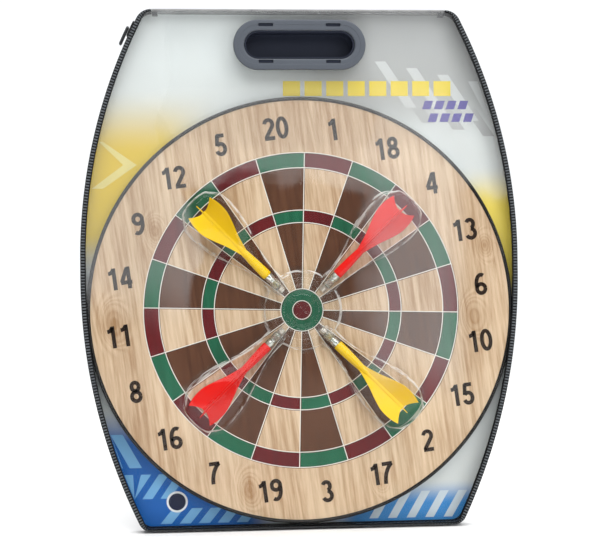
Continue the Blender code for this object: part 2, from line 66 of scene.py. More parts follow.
UPPER_SIDE = (477.0, 45.0)  # radius of the side's upper arc, height of its centre
LOWER_SIDE = (503.5, 30.0)
TOP_CORNER = 15.0
BOTTOM_CORNER = 12.0


def around(count):
    """Evenly spaced angles of a full turn."""
    return np.linspace(0, 2 * math.pi, count, endpoint=False)


def together(*parts):
    """Arrays spread to one shape and set side by side as the last axis."""
    return np.stack(np.broadcast_arrays(*parts), -1)


def squarish(count, power):
    """The cosines and sines of a full turn, each drawn out towards a square by a power."""
    a = around(count)
    return (np.sign(v) * np.abs(v) ** power for v in (np.cos(a), np.sin(a)))


def arc(centre, radius, start, end, count):
    """Stations (x, z, nx, nz) round a circle: the centre plus the radius times the cosine and sine
    of evenly spaced angles, with those as the outward normal."""
    a = np.linspace(start, end, count + 1)
    c, s = np.cos(a), np.sin(a)
    return np.stack([centre[0] + radius * c, centre[1] + radius * s, c, s], -1)


def corner_centre(side, edge, radius):
    """Centre of a round that touches a flat edge and, from inside, a side's large circle: at the
    round's radius from the edge, and at the difference of the radii from the circle's centre."""
    z = edge - math.copysign(radius, edge)
    reach = math.sqrt((side[0] - radius) ** 2 - (z - side[1]) ** 2)
    return (CASE_HALF_WIDTH - side[0] + reach, z)


def right_side():
    """The case's right edge from the bottom up: small round, lower arc, upper arc, small round,
    each starting in the direction in which the one before ends."""
    low = corner_centre(LOWER_SIDE, CASE_BOTTOM, BOTTOM_CORNER)
    high = corner_centre(UPPER_SIDE, CASE_TOP, TOP_CORNER)
    low_mid = (CASE_HALF_WIDTH - LOWER_SIDE[0], LOWER_SIDE[1])
    high_mid = (CASE_HALF_WIDTH - UPPER_SIDE[0], UPPER_SIDE[1])
    low_join = math.atan2(low[1] - low_mid[1], low[0] - low_mid[0])
    high_join = math.atan2(high[1] - high_mid[1], high[0] - high_mid[0])
    return np.concatenate(
        [
            arc(low, BOTTOM_CORNER, -math.pi / 2, low_join, 8)[:-1],
            arc(low_mid, LOWER_SIDE[0], low_join, 0.0, 40),
            arc(high_mid, UPPER_SIDE[0], 0.0, high_join, 40)[1:],
            arc(high, TOP_CORNER, high_join, math.pi / 2, 8)[1:],
        ]
    )


RIGHT = right_side()
LEFT = RIGHT[::-1] * [-1, 1, -1, 1]
ZIP_PATH = np.concatenate([LEFT, RIGHT])
OUTLINE = np.concatenate([RIGHT, LEFT])


def swept(stations, inset, depth):
    """A profile carried along an edge: each station moved against its outward normal by the inset,
    at the given depth in front of the rear face."""
    inset, depth = np.broadcast_arrays(*map(np.atleast_2d, (inset, depth)))
    x, z, nx, nz = (stations[:, k : k + 1] for k in range(4))
    return together(x - nx * inset, -depth + 0 * x, z - nz * inset) * MM


def grid_faces(rows, cols, wrap_rows=False, wrap_cols=False):
    """Corners of the four-sided faces between neighbours of a grid numbered row by row."""
    r = np.arange(rows if wrap_rows else rows - 1)[:, None]
    c = np.arange(cols if wrap_cols else cols - 1)[None, :]
    r1, c1 = (r + 1) % rows, (c + 1) % cols
    corners = together(r * cols + c, r * cols + c1, r1 * cols + c1, r1 * cols + c)
    return corners.reshape(-1, 4)


def make_mesh(name, points, faces, materials, uv=None, index=None, smooth=40.0, closed=True):
    """A mesh object at the origin from an array of points in metres and its faces' corner
    numbers."""
    mesh = bpy.data.meshes.new(name)
    mesh.from_pydata(np.reshape(points, (-1, 3)).tolist(), [], [list(map(int, f)) for f in faces])
    for material in materials:
        mesh.materials.append(material)
    if index is not None:
        mesh.polygons.foreach_set("material_index", np.asarray(index, dtype=np.int32))
    if uv is not None:
        corner = np.empty(len(mesh.loops), dtype=np.int32)
        mesh.loops.foreach_get("vertex_index", corner)
        layer = mesh.uv_layers.new(name="run")
        layer.data.foreach_set("uv", np.reshape(uv, (-1, 2))[corner].astype(np.float32).ravel())
    work = bmesh.new()
    work.from_mesh(mesh)
    bmesh.ops.remove_doubles(work, verts=work.verts, dist=0.000002)
    if closed:
        bmesh.ops.recalc_face_normals(work, faces=work.faces)
    elif sum(f.normal.y * f.calc_area() for f in work.faces) > 0:
        bmesh.ops.reverse_faces(work, faces=work.faces)
    work.to_mesh(mesh)
    work.free()
    mesh.shade_smooth()
    mesh.set_sharp_from_angle(angle=math.radians(smooth))
    made = bpy.data.objects.new(name, mesh)
    bpy.context.collection.objects.link(made)
    return made


def capped(points):
    """Faces of a closed profile's sweep, with an end face on its first and last section."""
    rows, cols = points.shape[:2]
    ends = [list(range(cols)), list(range((rows - 1) * cols, rows * cols))]
    return grid_faces(rows, cols, wrap_cols=True).tolist() + ends


def tint(red, green, blue):
    """A display colour out of 255 as a linear one: each share to the power 2.2, with alpha."""
    return (*((c / 255) ** 2.2 for c in (red, green, blue)), 1.0)


def add_group(name, inputs, outputs):
    """An empty shader node group with named float, colour and vector sockets."""
    group = bpy.data.node_groups.new(name, "ShaderNodeTree")
    for label, kind, value in inputs:
        made = group.interface.new_socket(label, in_out="INPUT", socket_type="NodeSocket" + kind)
        made.default_value = value
    for label, kind in outputs:
        group.interface.new_socket(label, in_out="OUTPUT", socket_type="NodeSocket" + kind)
    start, end = group.nodes.new("NodeGroupInput"), group.nodes.new("NodeGroupOutput")
    return group, start.outputs, end.inputs


def add(tree, kind, values=(), **settings):
    """A shader node with its settings, and its input sockets given plain values or links."""
    node = tree.nodes.new("ShaderNode" + kind)
    for key, value in settings.items():
        setattr(node, key, value)
    for key, value in dict(values).items():
        if isinstance(value, bpy.types.NodeSocket):
            tree.links.new(value, node.inputs[key])
        else:
            node.inputs[key].default_value = value
    return node


def here(tree):
    """The surface's own coordinates, in metres, which don't move with the piece."""
    return add(tree, "TexCoord").outputs["Object"]


def maths(tree, operation, *values, clamp=False):
    """One step of arithmetic on plain values or links."""
    node = add(tree, "Math", dict(enumerate(values)), operation=operation, use_clamp=clamp)
    return node.outputs[0]


def noise(tree, where, scale, detail=2.0, **more):
    """Soft noise from 0 to 1 at a scale, with finer levels as detail asks."""
    values = {"Vector": where, "Scale": scale, "Detail": detail, **more}
    return add(tree, "TexNoise", values).outputs["Fac"]


def emboss(tree, normal, height, strength, distance):
    """A bump from a height, linked to a normal."""
    bump = add(tree, "Bump", {"Height": height, "Strength": strength, "Distance": distance})
    tree.links.new(bump.outputs[0], normal)


def material(name, values=()):
    """A material with one Principled shader, its plain values set on the shader's own sockets."""
    made = bpy.data.materials.new(name)
    made.use_nodes = True
    shader = made.node_tree.nodes["Principled BSDF"]
    for key, value in dict(values).items():
        shader.inputs[key].default_value = value
    return made, made.node_tree, shader


def surface_group():
    """Shared finish of a made surface. Colour: the base mixed towards a darker one by soft clouds.
    Roughness: the middle value plus or minus a spread by smears. Normal: a bump from a fine
    grain."""
    group, start, end = add_group(
        "made_surface",
        [
            ("Color", "Color", (0.5, 0.5, 0.5, 1.0)),
            ("Shade", "Float", 0.2),
            ("Clouds", "Float", 30.0),
            ("Roughness", "Float", 0.4),
            ("Spread", "Float", 0.1),
            ("Grain", "Float", 1500.0),
            ("Relief", "Float", 0.15),
        ],
        [("Color", "Color"), ("Roughness", "Float"), ("Normal", "Vector")],
    )
    where = here(group)
    dark = maths(group, "MULTIPLY", noise(group, where, start["Clouds"], 4.0), start["Shade"])
    keep = maths(group, "SUBTRACT", 1.0, dark)
    shade = add(group, "VectorMath", {0: start["Color"], "Scale": keep}, operation="SCALE")
    group.links.new(shade.outputs[0], end["Color"])
    smears = noise(group, where, 55.0, 5.0, Distortion=1.2)
    swing = maths(group, "SUBTRACT", smears, 0.5)
    rough = maths(group, "MULTIPLY_ADD", swing, start["Spread"], start["Roughness"])
    group.links.new(rough, end["Roughness"])
    grain = noise(group, where, start["Grain"])
    emboss(group, end["Normal"], grain, start["Relief"], 0.0002)
    return group


SURFACE = surface_group()


def made_of(name, colour, shade=0.2, clouds=30.0, rough=0.4, spread=0.1, grain=1500.0, relief=0.15, **plain):
    """A material whose colour, roughness and bump come from the shared surface group."""
    made, tree, shader = material(name, {k.replace("_", " "): v for k, v in plain.items()})
    values = {"Color": colour, "Shade": shade, "Clouds": clouds, "Roughness": rough}
    values |= {"Spread": spread, "Grain": grain, "Relief": relief}
    node = add(tree, "Group", values, node_tree=SURFACE)
    for given, taken in (("Color", "Base Color"), ("Roughness", "Roughness"), ("Normal", "Normal")):
        tree.links.new(node.outputs[given], shader.inputs[taken])
    return made


def paint(node, made):
    """Gives a CAD node that stays in view its material."""
    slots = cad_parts[node].data.materials
    slots.clear()
    slots.append(made)


black_sheet = made_of(
    "embossed_black_sheet", tint(16, 16, 19), 0.3, 40.0, 0.6, 0.2, 900.0, 0.35, Specular_IOR_Level=0.12
)
paint("rear_panel", black_sheet)

wall_inset = [1.4, 1.4, 1.5, 2.1, 2.2, 2.2]
wall_depth = [1.5, 6.7, 6.9, 6.9, 6.7, 1.5]
walls = swept(ZIP_PATH, wall_inset, wall_depth)
case_wall = make_mesh("case_wall", walls, capped(walls), [black_sheet])
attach(case_wall, "case")
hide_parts("gusset_left", "gusset_right", "gusset_bottom")

clear_fold, tree, shader = material("fold_of_clear_sheet", {"IOR": 1.46, "Alpha": 0.55})
smear = noise(tree, here(tree), 90.0)
for key, low, high in (("Roughness", 0.1, 0.35), ("Base Color", 0.22, 0.5)):
    spread = add(tree, "MapRange", {"Value": smear, "To Min": low, "To Max": high})
    tree.links.new(spread.outputs[0], shader.inputs[key])
paint("top_fold", clear_fold)
paint("gusset_top", clear_fold)

# --- Zip ----------------------------------------------------------------------------------------
# A coarse black moulded zip runs down both curved sides and along the bottom. Its teeth are moulded
# on a woven tape; those of the case and those of the flap sit in each other's gaps.
PITCH = 3.4


def resampled(stations, step):
    """Stations at even steps along a path, each value read at its length by straight lines."""
    ends = stations[:, :2]
    run = np.concatenate([[0], np.cumsum(np.hypot(*np.diff(ends, axis=0).T))])
    at = np.arange(step / 2, run[-1] - step / 2, step)
    return np.stack([np.interp(at, run, stations[:, k]) for k in range(4)], -1)


def teeth(stations, depth, offset, out):
    """Rounded blocks along a path: eight corners twice, narrow at both depths and full between."""
    place = resampled(stations, PITCH / 2)[offset::2]
    level = np.array([0.0, 0.25, 0.75, 1.0])
    swell = np.array([0.72, 1.0, 1.0, 0.72])
    ring = np.array([(-1, -0.6), (-0.6, -1), (0.6, -1), (1, -0.6), (1, 0.6), (0.6, 1), (-0.6, 1), (-1, 0.6)])
    half_in, half_run = 1.1 - out / 2, 0.85
    d = depth[0] + (depth[1] - depth[0]) * level
    x, z, nx, nz = (place[:, k][:, None, None] for k in range(4))
    inward = (half_in * (1 + ring[:, 0][None, None] * swell[None, :, None])) + out
    run = half_run * ring[:, 1][None, None] * swell[None, :, None]
    d = d[None, :, None] + 0 * inward
    points = together(x - nx * inward - nz * run, -d, z - nz * inward + nx * run)
    one = capped(points[0])
    faces = [[c + 32 * k for c in face] for k in range(len(place)) for face in one]
    return points * MM, faces


tape_black = made_of("zip_tape_weave", tint(32, 32, 34), 0.35, 60.0, 0.85, 0.1, 2600.0, 0.9)
tooth_black = made_of("moulded_black_teeth", tint(44, 46, 49), 0.3, 80.0, 0.35, 0.15, 1800.0, 0.1)
for name, body, node, depth, offset, out in (
    ("rear", "case", "zip_teeth_rear", (7.2, 9.7), 0, 1.0),
    ("front", "flap", "zip_teeth_front", (8.6, 11.1), 1, 0.0),
):
    points, faces = teeth(ZIP_PATH, depth, offset, out)
    row = make_mesh(f"zip_row_{name}", points, faces, [tooth_black], smooth=30.0)
    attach(row, body)
    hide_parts(node)
for name, body, node, low, high in (
    ("rear", "case", "zip_tape_rear", 1.5, 8.0),
    ("front", "flap", "zip_tape_front", 10.2, 15.5),
):
    tape = swept(ZIP_PATH, [0.6, 0.6, 0.8, 1.1, 1.1, 0.9], [low, high - 0.2, high, high - 0.2, low, low])
    made = make_mesh(f"zip_tape_woven_{name}", tape, capped(tape), [tape_black])
    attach(made, body)
    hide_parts(node)
for node in ("zip_stop_left", "zip_stop_right"):
    paint(node, tooth_black)

# --- Zip slider and puller ----------------------------------------------------------------------
# The slider is a black piece beside the teeth at the top of the left side, in the teeth's own
# finish. Its flat puller hangs down the outside of the case.
SLIDER_ANGLE = math.radians(25.6)
SIDE_CENTRE = (UPPER_SIDE[0] - CASE_HALF_WIDTH, UPPER_SIDE[1])


def side_piece(name, low, high, inset, depth, body, node, count=24):
    """A bar along the left side's arc: a rounded rectangle in section, drawn in to half its size at
    both ends by a quarter circle."""
    stations = arc(SIDE_CENTRE, UPPER_SIDE[0], math.pi - low, math.pi - high, count)
    t = np.linspace(-1, 1, count + 1)[:, None]
    swell = 0.5 + 0.5 * np.sqrt(1 - np.clip((np.abs(t) - 0.8) / 0.2, 0, 1) ** 2)
    round_x, round_y = squarish(24, 0.4)
    mid, half = sum(inset) / 2, (inset[1] - inset[0]) / 2
    mid_d, half_d = sum(depth) / 2, (depth[1] - depth[0]) / 2
    points = swept(stations, mid + half * round_x * swell, mid_d + half_d * round_y * swell)
    made = make_mesh(name, points, capped(points), [tooth_black])
    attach(made, body)
    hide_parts(node)


PLATE_HALF = math.radians(0.9)
PULLER_DROP, PULLER_EYE = 17.0 / UPPER_SIDE[0], 0.9 / UPPER_SIDE[0]
low, high = SLIDER_ANGLE - PLATE_HALF, SLIDER_ANGLE + PLATE_HALF
side_piece("slider_plate", low, high, (-1.4, -0.3), (4.2, 12.6), "zip_slider", "zip_slider")
low, high = SLIDER_ANGLE - PULLER_DROP, SLIDER_ANGLE + PULLER_EYE
side_piece("slider_puller", low, high, (-4.5, -2.1), (6.4, 11.9), "zip_puller", "zip_puller")

# --- Printed card -------------------------------------------------------------------------------
# A stiff white card fills the case behind the board. It is printed in soft fades of grey, yellow
# and blue, with slanted bars in the corners, a plain yellow row above the board and a purple pair.
card, tree, shader = material("card_print", {"Roughness": 0.45, "Specular IOR Level": 0.3})
place = add(tree, "SeparateXYZ", {"Vector": here(tree)})
side, height = place.outputs["X"], place.outputs["Z"]


def fade(tree, value, low, high):
    """A smooth step: 0 where the value is at low or before, 1 at high or past it."""
    node = add(
        tree,
        "MapRange",
        {"Value": value, "From Min": low, "From Max": high},
        interpolation_type="SMOOTHSTEP",
    )
    return node.outputs[0]


def times(tree, a, b):
    """The product of two masks."""
    return maths(tree, "MULTIPLY", a, b)


def plus(tree, a, b, clamp=False):
    """The sum of two masks, held to 0 to 1 where asked."""
    return maths(tree, "ADD", a, b, clamp=clamp)


def over(tree, mask, below, above):
    """One colour laid over another where the mask is 1."""
    return add(tree, "MixRGB", {"Fac": mask, "Color1": below, "Color2": above}).outputs[0]


print_now = tint(216, 221, 220)
cloud = noise(tree, here(tree), 14.0)
print_now = over(tree, times(tree, cloud, 0.25), print_now, tint(196, 208, 212))
for colour, *fades in (
    (tint(168, 170, 170), (side, -0.04, 0.06), (height, 0.15, 0.2)),
    (tint(222, 190, 30), (side, -0.06, -0.13), (height, 0.2, 0.14), (height, 0.03, 0.07)),
    (tint(244, 220, 96), (side, 0.13, 0.17), (height, 0.13, 0.09), (height, 0.0, 0.03)),
    (tint(0, 96, 180), (side, -0.02, -0.05), (height, -0.085, -0.12)),
    (tint(60, 136, 204), (side, 0.02, 0.05), (height, -0.155, -0.178)),
):
    mask = 1.0
    for value, low, high in fades:
        mask = times(tree, mask, fade(tree, value, low, high))
    print_now = over(tree, mask, print_now, colour)
tree.links.new(print_now, shader.inputs["Base Color"])
emboss(tree, shader.inputs["Normal"], noise(tree, here(tree), 1100.0, 3.0), 0.12, 0.0001)
paint("card_insert", card)
CARD_FACE = -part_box("card_insert")[0].y / MM


def inside_case(outline, margin=4.5):
    """A printed shape's corners brought in to the case's edge: each x is held to the half width at
    its height, less a margin."""
    kept = []
    for x, z in outline:
        radius, centre = UPPER_SIDE if z > UPPER_SIDE[1] else LOWER_SIDE
        z = min(max(z, CASE_BOTTOM + margin), CASE_TOP - margin)
        limit = CASE_HALF_WIDTH - radius + math.sqrt(radius**2 - (z - centre) ** 2) - margin
        kept.append((min(max(x, -limit), limit), z))
    return kept


def flat_shapes(name, outlines, made, body, depth):
    """Thin printed shapes: each outline of (x, z) corners as one flat face at a depth."""
    points, faces = [], []
    for outline in map(inside_case, outlines):
        faces.append(list(range(len(points), len(points) + len(outline))))
        points += [(x * MM, -depth * MM, z * MM) for x, z in outline]
    shape = make_mesh(name, points, faces, [made], closed=False)
    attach(shape, body)
    return shape


def slanted(x, z, width, tall, lean):
    """A parallelogram from its lower left corner: its top is moved sideways by lean."""
    return [(x, z), (x + width, z), (x + width + lean, z + tall), (x + lean, z + tall)]


def ink(name, colour, rough=0.42):
    """A flat printing ink with slight unevenness."""
    return made_of(name, colour, 0.12, 120.0, rough, 0.08, 1100.0, 0.1, Specular_IOR_Level=0.25)


def dot(radius, x=-113.0, z=-171.0):
    """A round printed spot."""
    a = around(48)
    return list(zip(x + radius * np.cos(a), z + radius * np.sin(a)))


title = [slanted(-14.5 + 19.6 * k, 192.6, 15.6, 13.6, 0.0) for k in range(8)]
purple = [slanted(x + 10.8 * k, z, 7.6, 7.8, 2.6) for x, z in ((112, 180.5), (117, 169.0)) for k in range(4)]
dark_bars = [slanted(112 + 28 * k, 168 - 6 * k, 11, 26, -18) for k in range(3)]
pale_bars = [slanted(97 + 28.5 * k, 182 - 6 * k, 10, 42, -28) for k in range(4)]
arrow = [[(-186, 152), (-176, 152), (-146, 131), (-176, 110), (-186, 110), (-158, 131)]]
blue_bars = [slanted(-172 + 17 * k, -140, 11, 30, -17) for k in range(2)]
blue_bars += [slanted(-176 + 16 * k, -168, 9, 22, 15) for k in range(4)]
blue_bars += [slanted(-128 + 17 * k, -191, 10, 14, 11) for k in range(5)]
white_bars = [slanted(60 + 17 * k, -190, 8, 24, 14) for k in range(5)]
for name, outlines, ink_name, colour, rise in (
    ("title_blocks", title, "yellow_ink", tint(240, 214, 50), 0.1),
    ("purple_bars", purple, "purple_ink", tint(92, 84, 160), 0.1),
    ("dark_slats", dark_bars, "mid_grey_ink", tint(182, 184, 185), 0.05),
    ("grey_slats", pale_bars, "pale_grey_ink", tint(206, 210, 210), 0.06),
    ("side_arrow", arrow, "pale_yellow_ink", tint(236, 222, 140), 0.06),
    ("light_blue_bars", blue_bars, "light_blue_ink", tint(122, 184, 232), 0.06),
    ("white_bars", white_bars, "white_ink", tint(206, 220, 230), 0.06),
    ("age_dot_edge", [dot(9.5)], "dot_white", tint(240, 244, 246), 0.12),
    ("age_dot", [dot(7.6)], "dot_navy", tint(24, 34, 62), 0.18),
):
    flat_shapes(name, outlines, ink(ink_name, colour), "case", CARD_FACE + rise)

# --- Board: rim ---------------------------------------------------------------------------------
# A rolled rim of black-lacquered steel holds the board's layers together. It has a satin shine, and
# its crown turns over in a half circle.
BOARD_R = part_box("board_rim")[1].x / MM
PRINT_TURN = math.radians(7.55)
FACE_FRONT = -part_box("face_sheet")[0].y / MM


def lathed(profile, count):
    """A round surface: each (radius, depth) of the profile turned about the board's middle line."""
    a = around(count)[None, :]
    r, d = (np.asarray(profile, dtype=float)[:, k : k + 1] for k in range(2))
    return together(r * np.cos(a), -d, r * np.sin(a)) * MM


LIP, CROWN_FOOT, CROWN_RISE = 3.3, 12.9, 1.7
crown = np.linspace(0, math.pi, 17)
rim_profile = [(BOARD_R, 3.6), (BOARD_R, CROWN_FOOT)]
rim_profile += [
    (BOARD_R - LIP / 2 * (1 - math.cos(a)), CROWN_FOOT + CROWN_RISE * math.sin(a)) for a in crown[1:]
]
rim_profile += [(BOARD_R - LIP, FACE_FRONT + 0.3), (BOARD_R - 1.0, FACE_FRONT + 0.3), (BOARD_R - 1.0, 4.2)]
rim_profile += [(BOARD_R - LIP, 3.5), (BOARD_R - LIP, 2.6), (BOARD_R - 1.0, 2.6), (BOARD_R - 0.3, 2.9)]
rim_points = lathed(rim_profile, 288)
shine = {"Specular_IOR_Level": 0.35, "Coat_Weight": 0.15}
rim_black = made_of("black_lacquer", tint(15, 14, 14), 0.2, 60.0, 0.3, 0.12, 260.0, 0.12, **shine)
rim = make_mesh("rolled_rim", rim_points, grid_faces(len(rim_profile), 288, True, True), [rim_black])
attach(rim, "board")
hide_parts("board_rim")

# --- Board: printed face ------------------------------------------------------------------------
# The face is thin tinplate, printed with a wood-grain ground, brown, green and maroon fields, and
# lacquered. The artwork sits a little anticlockwise of upright in the case.
BULL, OUTER_BULL = 8.3, 18.9
TRIPLE = (78.1, 89.2)
DOUBLE = (127.0, 140.6)
FACE_R = BOARD_R - 1.3
STEPS = 18
FIRST_SPOKE = PRINT_TURN + math.radians(81.0)


# Knots: where each is on the artwork, and its size
KNOTS = (
    (-168, 12, 20), (-120, 88, 13), (152, -28, 18), (171, 34, 12),
    (-70, -152, 17), (48, -160, 12), (34, 70, 9),
)


def wood_group():
    """Oak print in the artwork's own upright frame. Long soft streaks: noise drawn out along the
    height. Fine pores: the same, tighter. Figure: distorted bands. Broad light and dark areas:
    large noise. Knots: round dark fades, which also bend the bands."""
    group, start, end = add_group(
        "wood_print",
        [("Light", "Color", tint(222, 192, 154)), ("Dark", "Color", tint(186, 148, 108))],
        [("Color", "Color")],
    )
    turn = {"Vector": here(group), "Rotation": (0.0, PRINT_TURN, 0.0)}
    upright = add(group, "Mapping", turn, vector_type="POINT").outputs[0]
    bend = 0.0
    for x, z, size in KNOTS:
        away = add(group, "VectorMath", {0: upright, 1: (x * MM, 0.0, z * MM)}, operation="SUBTRACT")
        squash = add(group, "VectorMath", {0: away.outputs[0], 1: (1.0, 0.0, 0.62)}, operation="MULTIPLY")
        far = add(group, "VectorMath", {0: squash.outputs[0]}, operation="LENGTH")
        near = fade(group, far.outputs["Value"], size * MM, 0.0)
        bend = maths(group, "MAXIMUM", bend, near)
    long = add(group, "VectorMath", {0: upright, 1: (1.0, 1.0, 0.055)}, operation="MULTIPLY").outputs[0]
    streak = noise(group, long, 105.0, 7.0, Roughness=0.7)
    pores = noise(group, long, 420.0, 3.0, Roughness=0.7)
    warp = add(group, "CombineXYZ", {"X": times(group, bend, 0.045)}).outputs[0]
    bands = add(group, "VectorMath", {0: long, 1: warp}, operation="ADD").outputs[0]
    figure = add(
        group,
        "TexWave",
        {"Vector": bands, "Scale": 34.0, "Distortion": 8.0, "Detail": 3.0, "Detail Scale": 1.4},
        wave_type="BANDS",
        bands_direction="X",
    ).outputs["Fac"]
    broad = noise(group, upright, 13.0, 3.0)
    mix = 0.0
    for layer, weight in ((streak, 0.75), (figure, 0.12), (pores, 0.55), (broad, 0.5)):
        mix = plus(group, mix, times(group, layer, weight))
    knots = times(group, times(group, bend, bend), 0.5)
    amount = plus(group, fade(group, mix, 0.66, 1.36), knots, clamp=True)
    group.links.new(over(group, amount, start["Light"], start["Dark"]), end["Color"])
    return group


WOOD = wood_group()


def printed(name, light, dark):
    """Lacquered print on steel: the wood pattern between two inks under a thin coat."""
    plain = {"Roughness": 0.4, "Specular IOR Level": 0.22, "Coat Weight": 0.08, "Coat Roughness": 0.08}
    made, tree, shader = material(name, plain)
    node = add(tree, "Group", {"Light": light, "Dark": dark}, node_tree=WOOD)
    tree.links.new(node.outputs["Color"], shader.inputs["Base Color"])
    emboss(tree, shader.inputs["Normal"], noise(tree, here(tree), 22.0, 1.0), 0.15, 0.001)
    return made


fields = [
    printed("wood_ground", tint(216, 193, 164), tint(160, 126, 92)),
    printed("brown_field", tint(94, 62, 44), tint(70, 45, 31)),
    printed("green_field", tint(36, 100, 74), tint(24, 82, 58)),
    printed("maroon_field", tint(102, 29, 33), tint(80, 21, 25)),
]
radii = np.array([0.02, 4.0, BULL, 13.5, OUTER_BULL, 38, 58, *TRIPLE, 108, *DOUBLE, 156, 172, FACE_R])
spokes = 20 * STEPS
angle = FIRST_SPOKE + np.arange(spokes) * 2 * math.pi / spokes
top = together(radii[:, None] * np.cos(angle), -FACE_FRONT, radii[:, None] * np.sin(angle)) * MM
back = top[-1:] + [0.0, 0.5 * MM, 0.0]
points = np.concatenate([top, back])
faces = grid_faces(len(points), spokes, wrap_cols=True).tolist()
faces += [list(range(spokes)), list(range(len(radii) * spokes, len(points) * spokes))]
middle = (radii[:-1] + radii[1:]) / 2
sector = np.arange(spokes) // STEPS  # 0 is the sector of 20, counted anticlockwise
odd = (sector % 2 == 1)[None, :]
m = middle[:, None]
ring_here = ((m > TRIPLE[0]) & (m < TRIPLE[1])) | ((m > DOUBLE[0]) & (m < DOUBLE[1]))
inside = (m > OUTER_BULL) & (m < DOUBLE[1])
kind = np.where(inside & ~odd, 1, 0)
kind = np.where(ring_here, np.where(odd, 3, 2), kind)
kind = np.where(m < OUTER_BULL, 2, kind)
kind = np.where(m < BULL, 3, kind) + 0 * odd
index = np.concatenate([kind.ravel(), np.zeros(spokes, dtype=int), [3, 0]])
face_print = make_mesh("printed_face", points, faces, fields, index=index, smooth=30.0)
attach(face_print, "board")
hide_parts("face_sheet")


def ring_and_spoke_lines(width, shift, depth, rings):
    """Printed lines: a flat ring of the given width at each radius, and a thin straight bar between
    each pair of sectors, all moved sideways and down by shift."""
    points, faces = [], []
    for radius in rings:
        base = sum(len(p) for p in points)
        points.append(lathed([(radius - width / 2, depth), (radius + width / 2, depth)], 180).reshape(-1, 3))
        faces += (grid_faces(2, 180, wrap_cols=True) + base).tolist()
    for k in range(20):
        a = FIRST_SPOKE + math.radians(18.0 * k)
        out, across = np.array([math.cos(a), math.sin(a)]), np.array([-math.sin(a), math.cos(a)])
        base = sum(len(p) for p in points)
        corners = [out * r + across * w for r, w in (
            (OUTER_BULL, -width / 2), (DOUBLE[1], -width / 2), (DOUBLE[1], width / 2), (OUTER_BULL, width / 2)
        )]
        points.append(np.array([(x, -depth, z) for x, z in corners]) * MM)
        faces.append([base, base + 1, base + 2, base + 3])
    moved = np.concatenate(points) + np.array([shift, 0.0, -shift]) * MM
    return moved, faces


line_rings = (BULL, OUTER_BULL, *TRIPLE, *DOUBLE)
for name, width, shift, rise, colour in (
    ("line_shadow", 0.5, 0.6, 0.06, tint(70, 52, 42)),
    ("line_white", 0.68, 0.0, 0.1, tint(240, 238, 232)),
):
    points, faces = ring_and_spoke_lines(width, shift, FACE_FRONT + rise, line_rings)
    made = make_mesh(name, points, faces, [ink(name + "_ink", colour, 0.3)], closed=False)
    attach(made, "board")


def bow(x, z, rx, rz, start, end, count=18):
    """A centre line along an ellipse between two angles in degrees."""
    a = np.radians(np.linspace(start, end, count))
    return np.stack([x + rx * np.cos(a), z + rz * np.sin(a)], -1)


def digit_lines():
    """Centre lines of a plain bold sans numeral, one unit tall: rings and bows for the round parts,
    straight lines for the rest."""

    def line(*corners):
        return np.array(corners, dtype=float)

    six = [bow(0.28, 0.285, 0.195, 0.21, 0, 360, 30), bow(0.33, 0.47, 0.245, 0.455, 195, 62)]
    return {
        "0": [bow(0.28, 0.5, 0.2, 0.425, 0, 360, 36)],
        "1": [line((0.36, 0.0), (0.36, 1.0)), bow(0.1, 0.97, 0.24, 0.2, -10, -88, 8)],
        "2": [
            np.concatenate([bow(0.28, 0.72, 0.185, 0.205, 170, -35), line((0.1, 0.1))]),
            line((0.04, 0.075), (0.51, 0.075)),
        ],
        "3": [bow(0.27, 0.735, 0.165, 0.19, 155, -80), bow(0.27, 0.29, 0.2, 0.215, 85, -160)],
        "4": [
            line((0.4, 0.0), (0.4, 1.0)),
            line((0.36, 0.95), (0.06, 0.31)),
            line((0.02, 0.29), (0.54, 0.29)),
        ],
        "5": [
            line((0.13, 0.925), (0.48, 0.925)),
            line((0.17, 0.96), (0.12, 0.46)),
            bow(0.27, 0.31, 0.195, 0.24, 140, -160),
        ],
        "6": six,
        "7": [line((0.04, 0.925), (0.52, 0.925)), bow(0.84, 0.0, 0.72, 1.05, 180, 118, 14)],
        "8": [bow(0.28, 0.735, 0.16, 0.19, 0, 360, 28), bow(0.28, 0.285, 0.195, 0.21, 0, 360, 30)],
        "9": [np.array([0.56, 1.0]) - part for part in six],
    }


def ribbon(line, width):
    """A flat band along a centre line: each point moved to both sides, square to the direction
    between its neighbours."""
    run = np.gradient(line, axis=0)
    run /= np.linalg.norm(run, axis=1)[:, None]
    side = np.stack([-run[:, 1], run[:, 0]], -1) * width / 2
    return np.stack([line - side, line + side], 1)


DIGIT_TALL, NUMBER_R = 19.4, 163.6
DIGIT_PITCH, STROKE = 0.61, 0.18  # shares of the digit's height


def numbers():
    """The dial's numbers, each upright in the artwork at its sector's middle: the digits' centre
    lines as bands, set side by side, turned with the artwork and laid on the face."""
    order = (20, 1, 18, 4, 13, 6, 10, 15, 2, 17, 3, 19, 7, 16, 8, 11, 14, 9, 12, 5)
    shapes = digit_lines()
    points, faces, base = [], [], 0
    c, s = math.cos(PRINT_TURN), math.sin(PRINT_TURN)
    for k, number in enumerate(order):
        a = math.radians(90.0 - 18.0 * k)
        word = str(number)
        for n, digit in enumerate(word):
            for line in shapes[digit]:
                band = ribbon(line, STROKE)
                left = (n - len(word) / 2) * DIGIT_PITCH
                at = (band + [left, -0.5]) * DIGIT_TALL + np.array([math.cos(a), math.sin(a)]) * NUMBER_R
                x, z = at[..., 0] * c - at[..., 1] * s, at[..., 0] * s + at[..., 1] * c
                points.append(np.stack([x, 0 * x - FACE_FRONT - 0.08, z], -1).reshape(-1, 3) * MM)
                faces += (grid_faces(len(line), 2) + base).tolist()
                base += len(line) * 2
    return np.concatenate(points), faces


points, faces = numbers()
dial = make_mesh("dial_numbers", points, faces, [ink("number_ink", tint(44, 32, 24), 0.28)], closed=False)
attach(dial, "board")

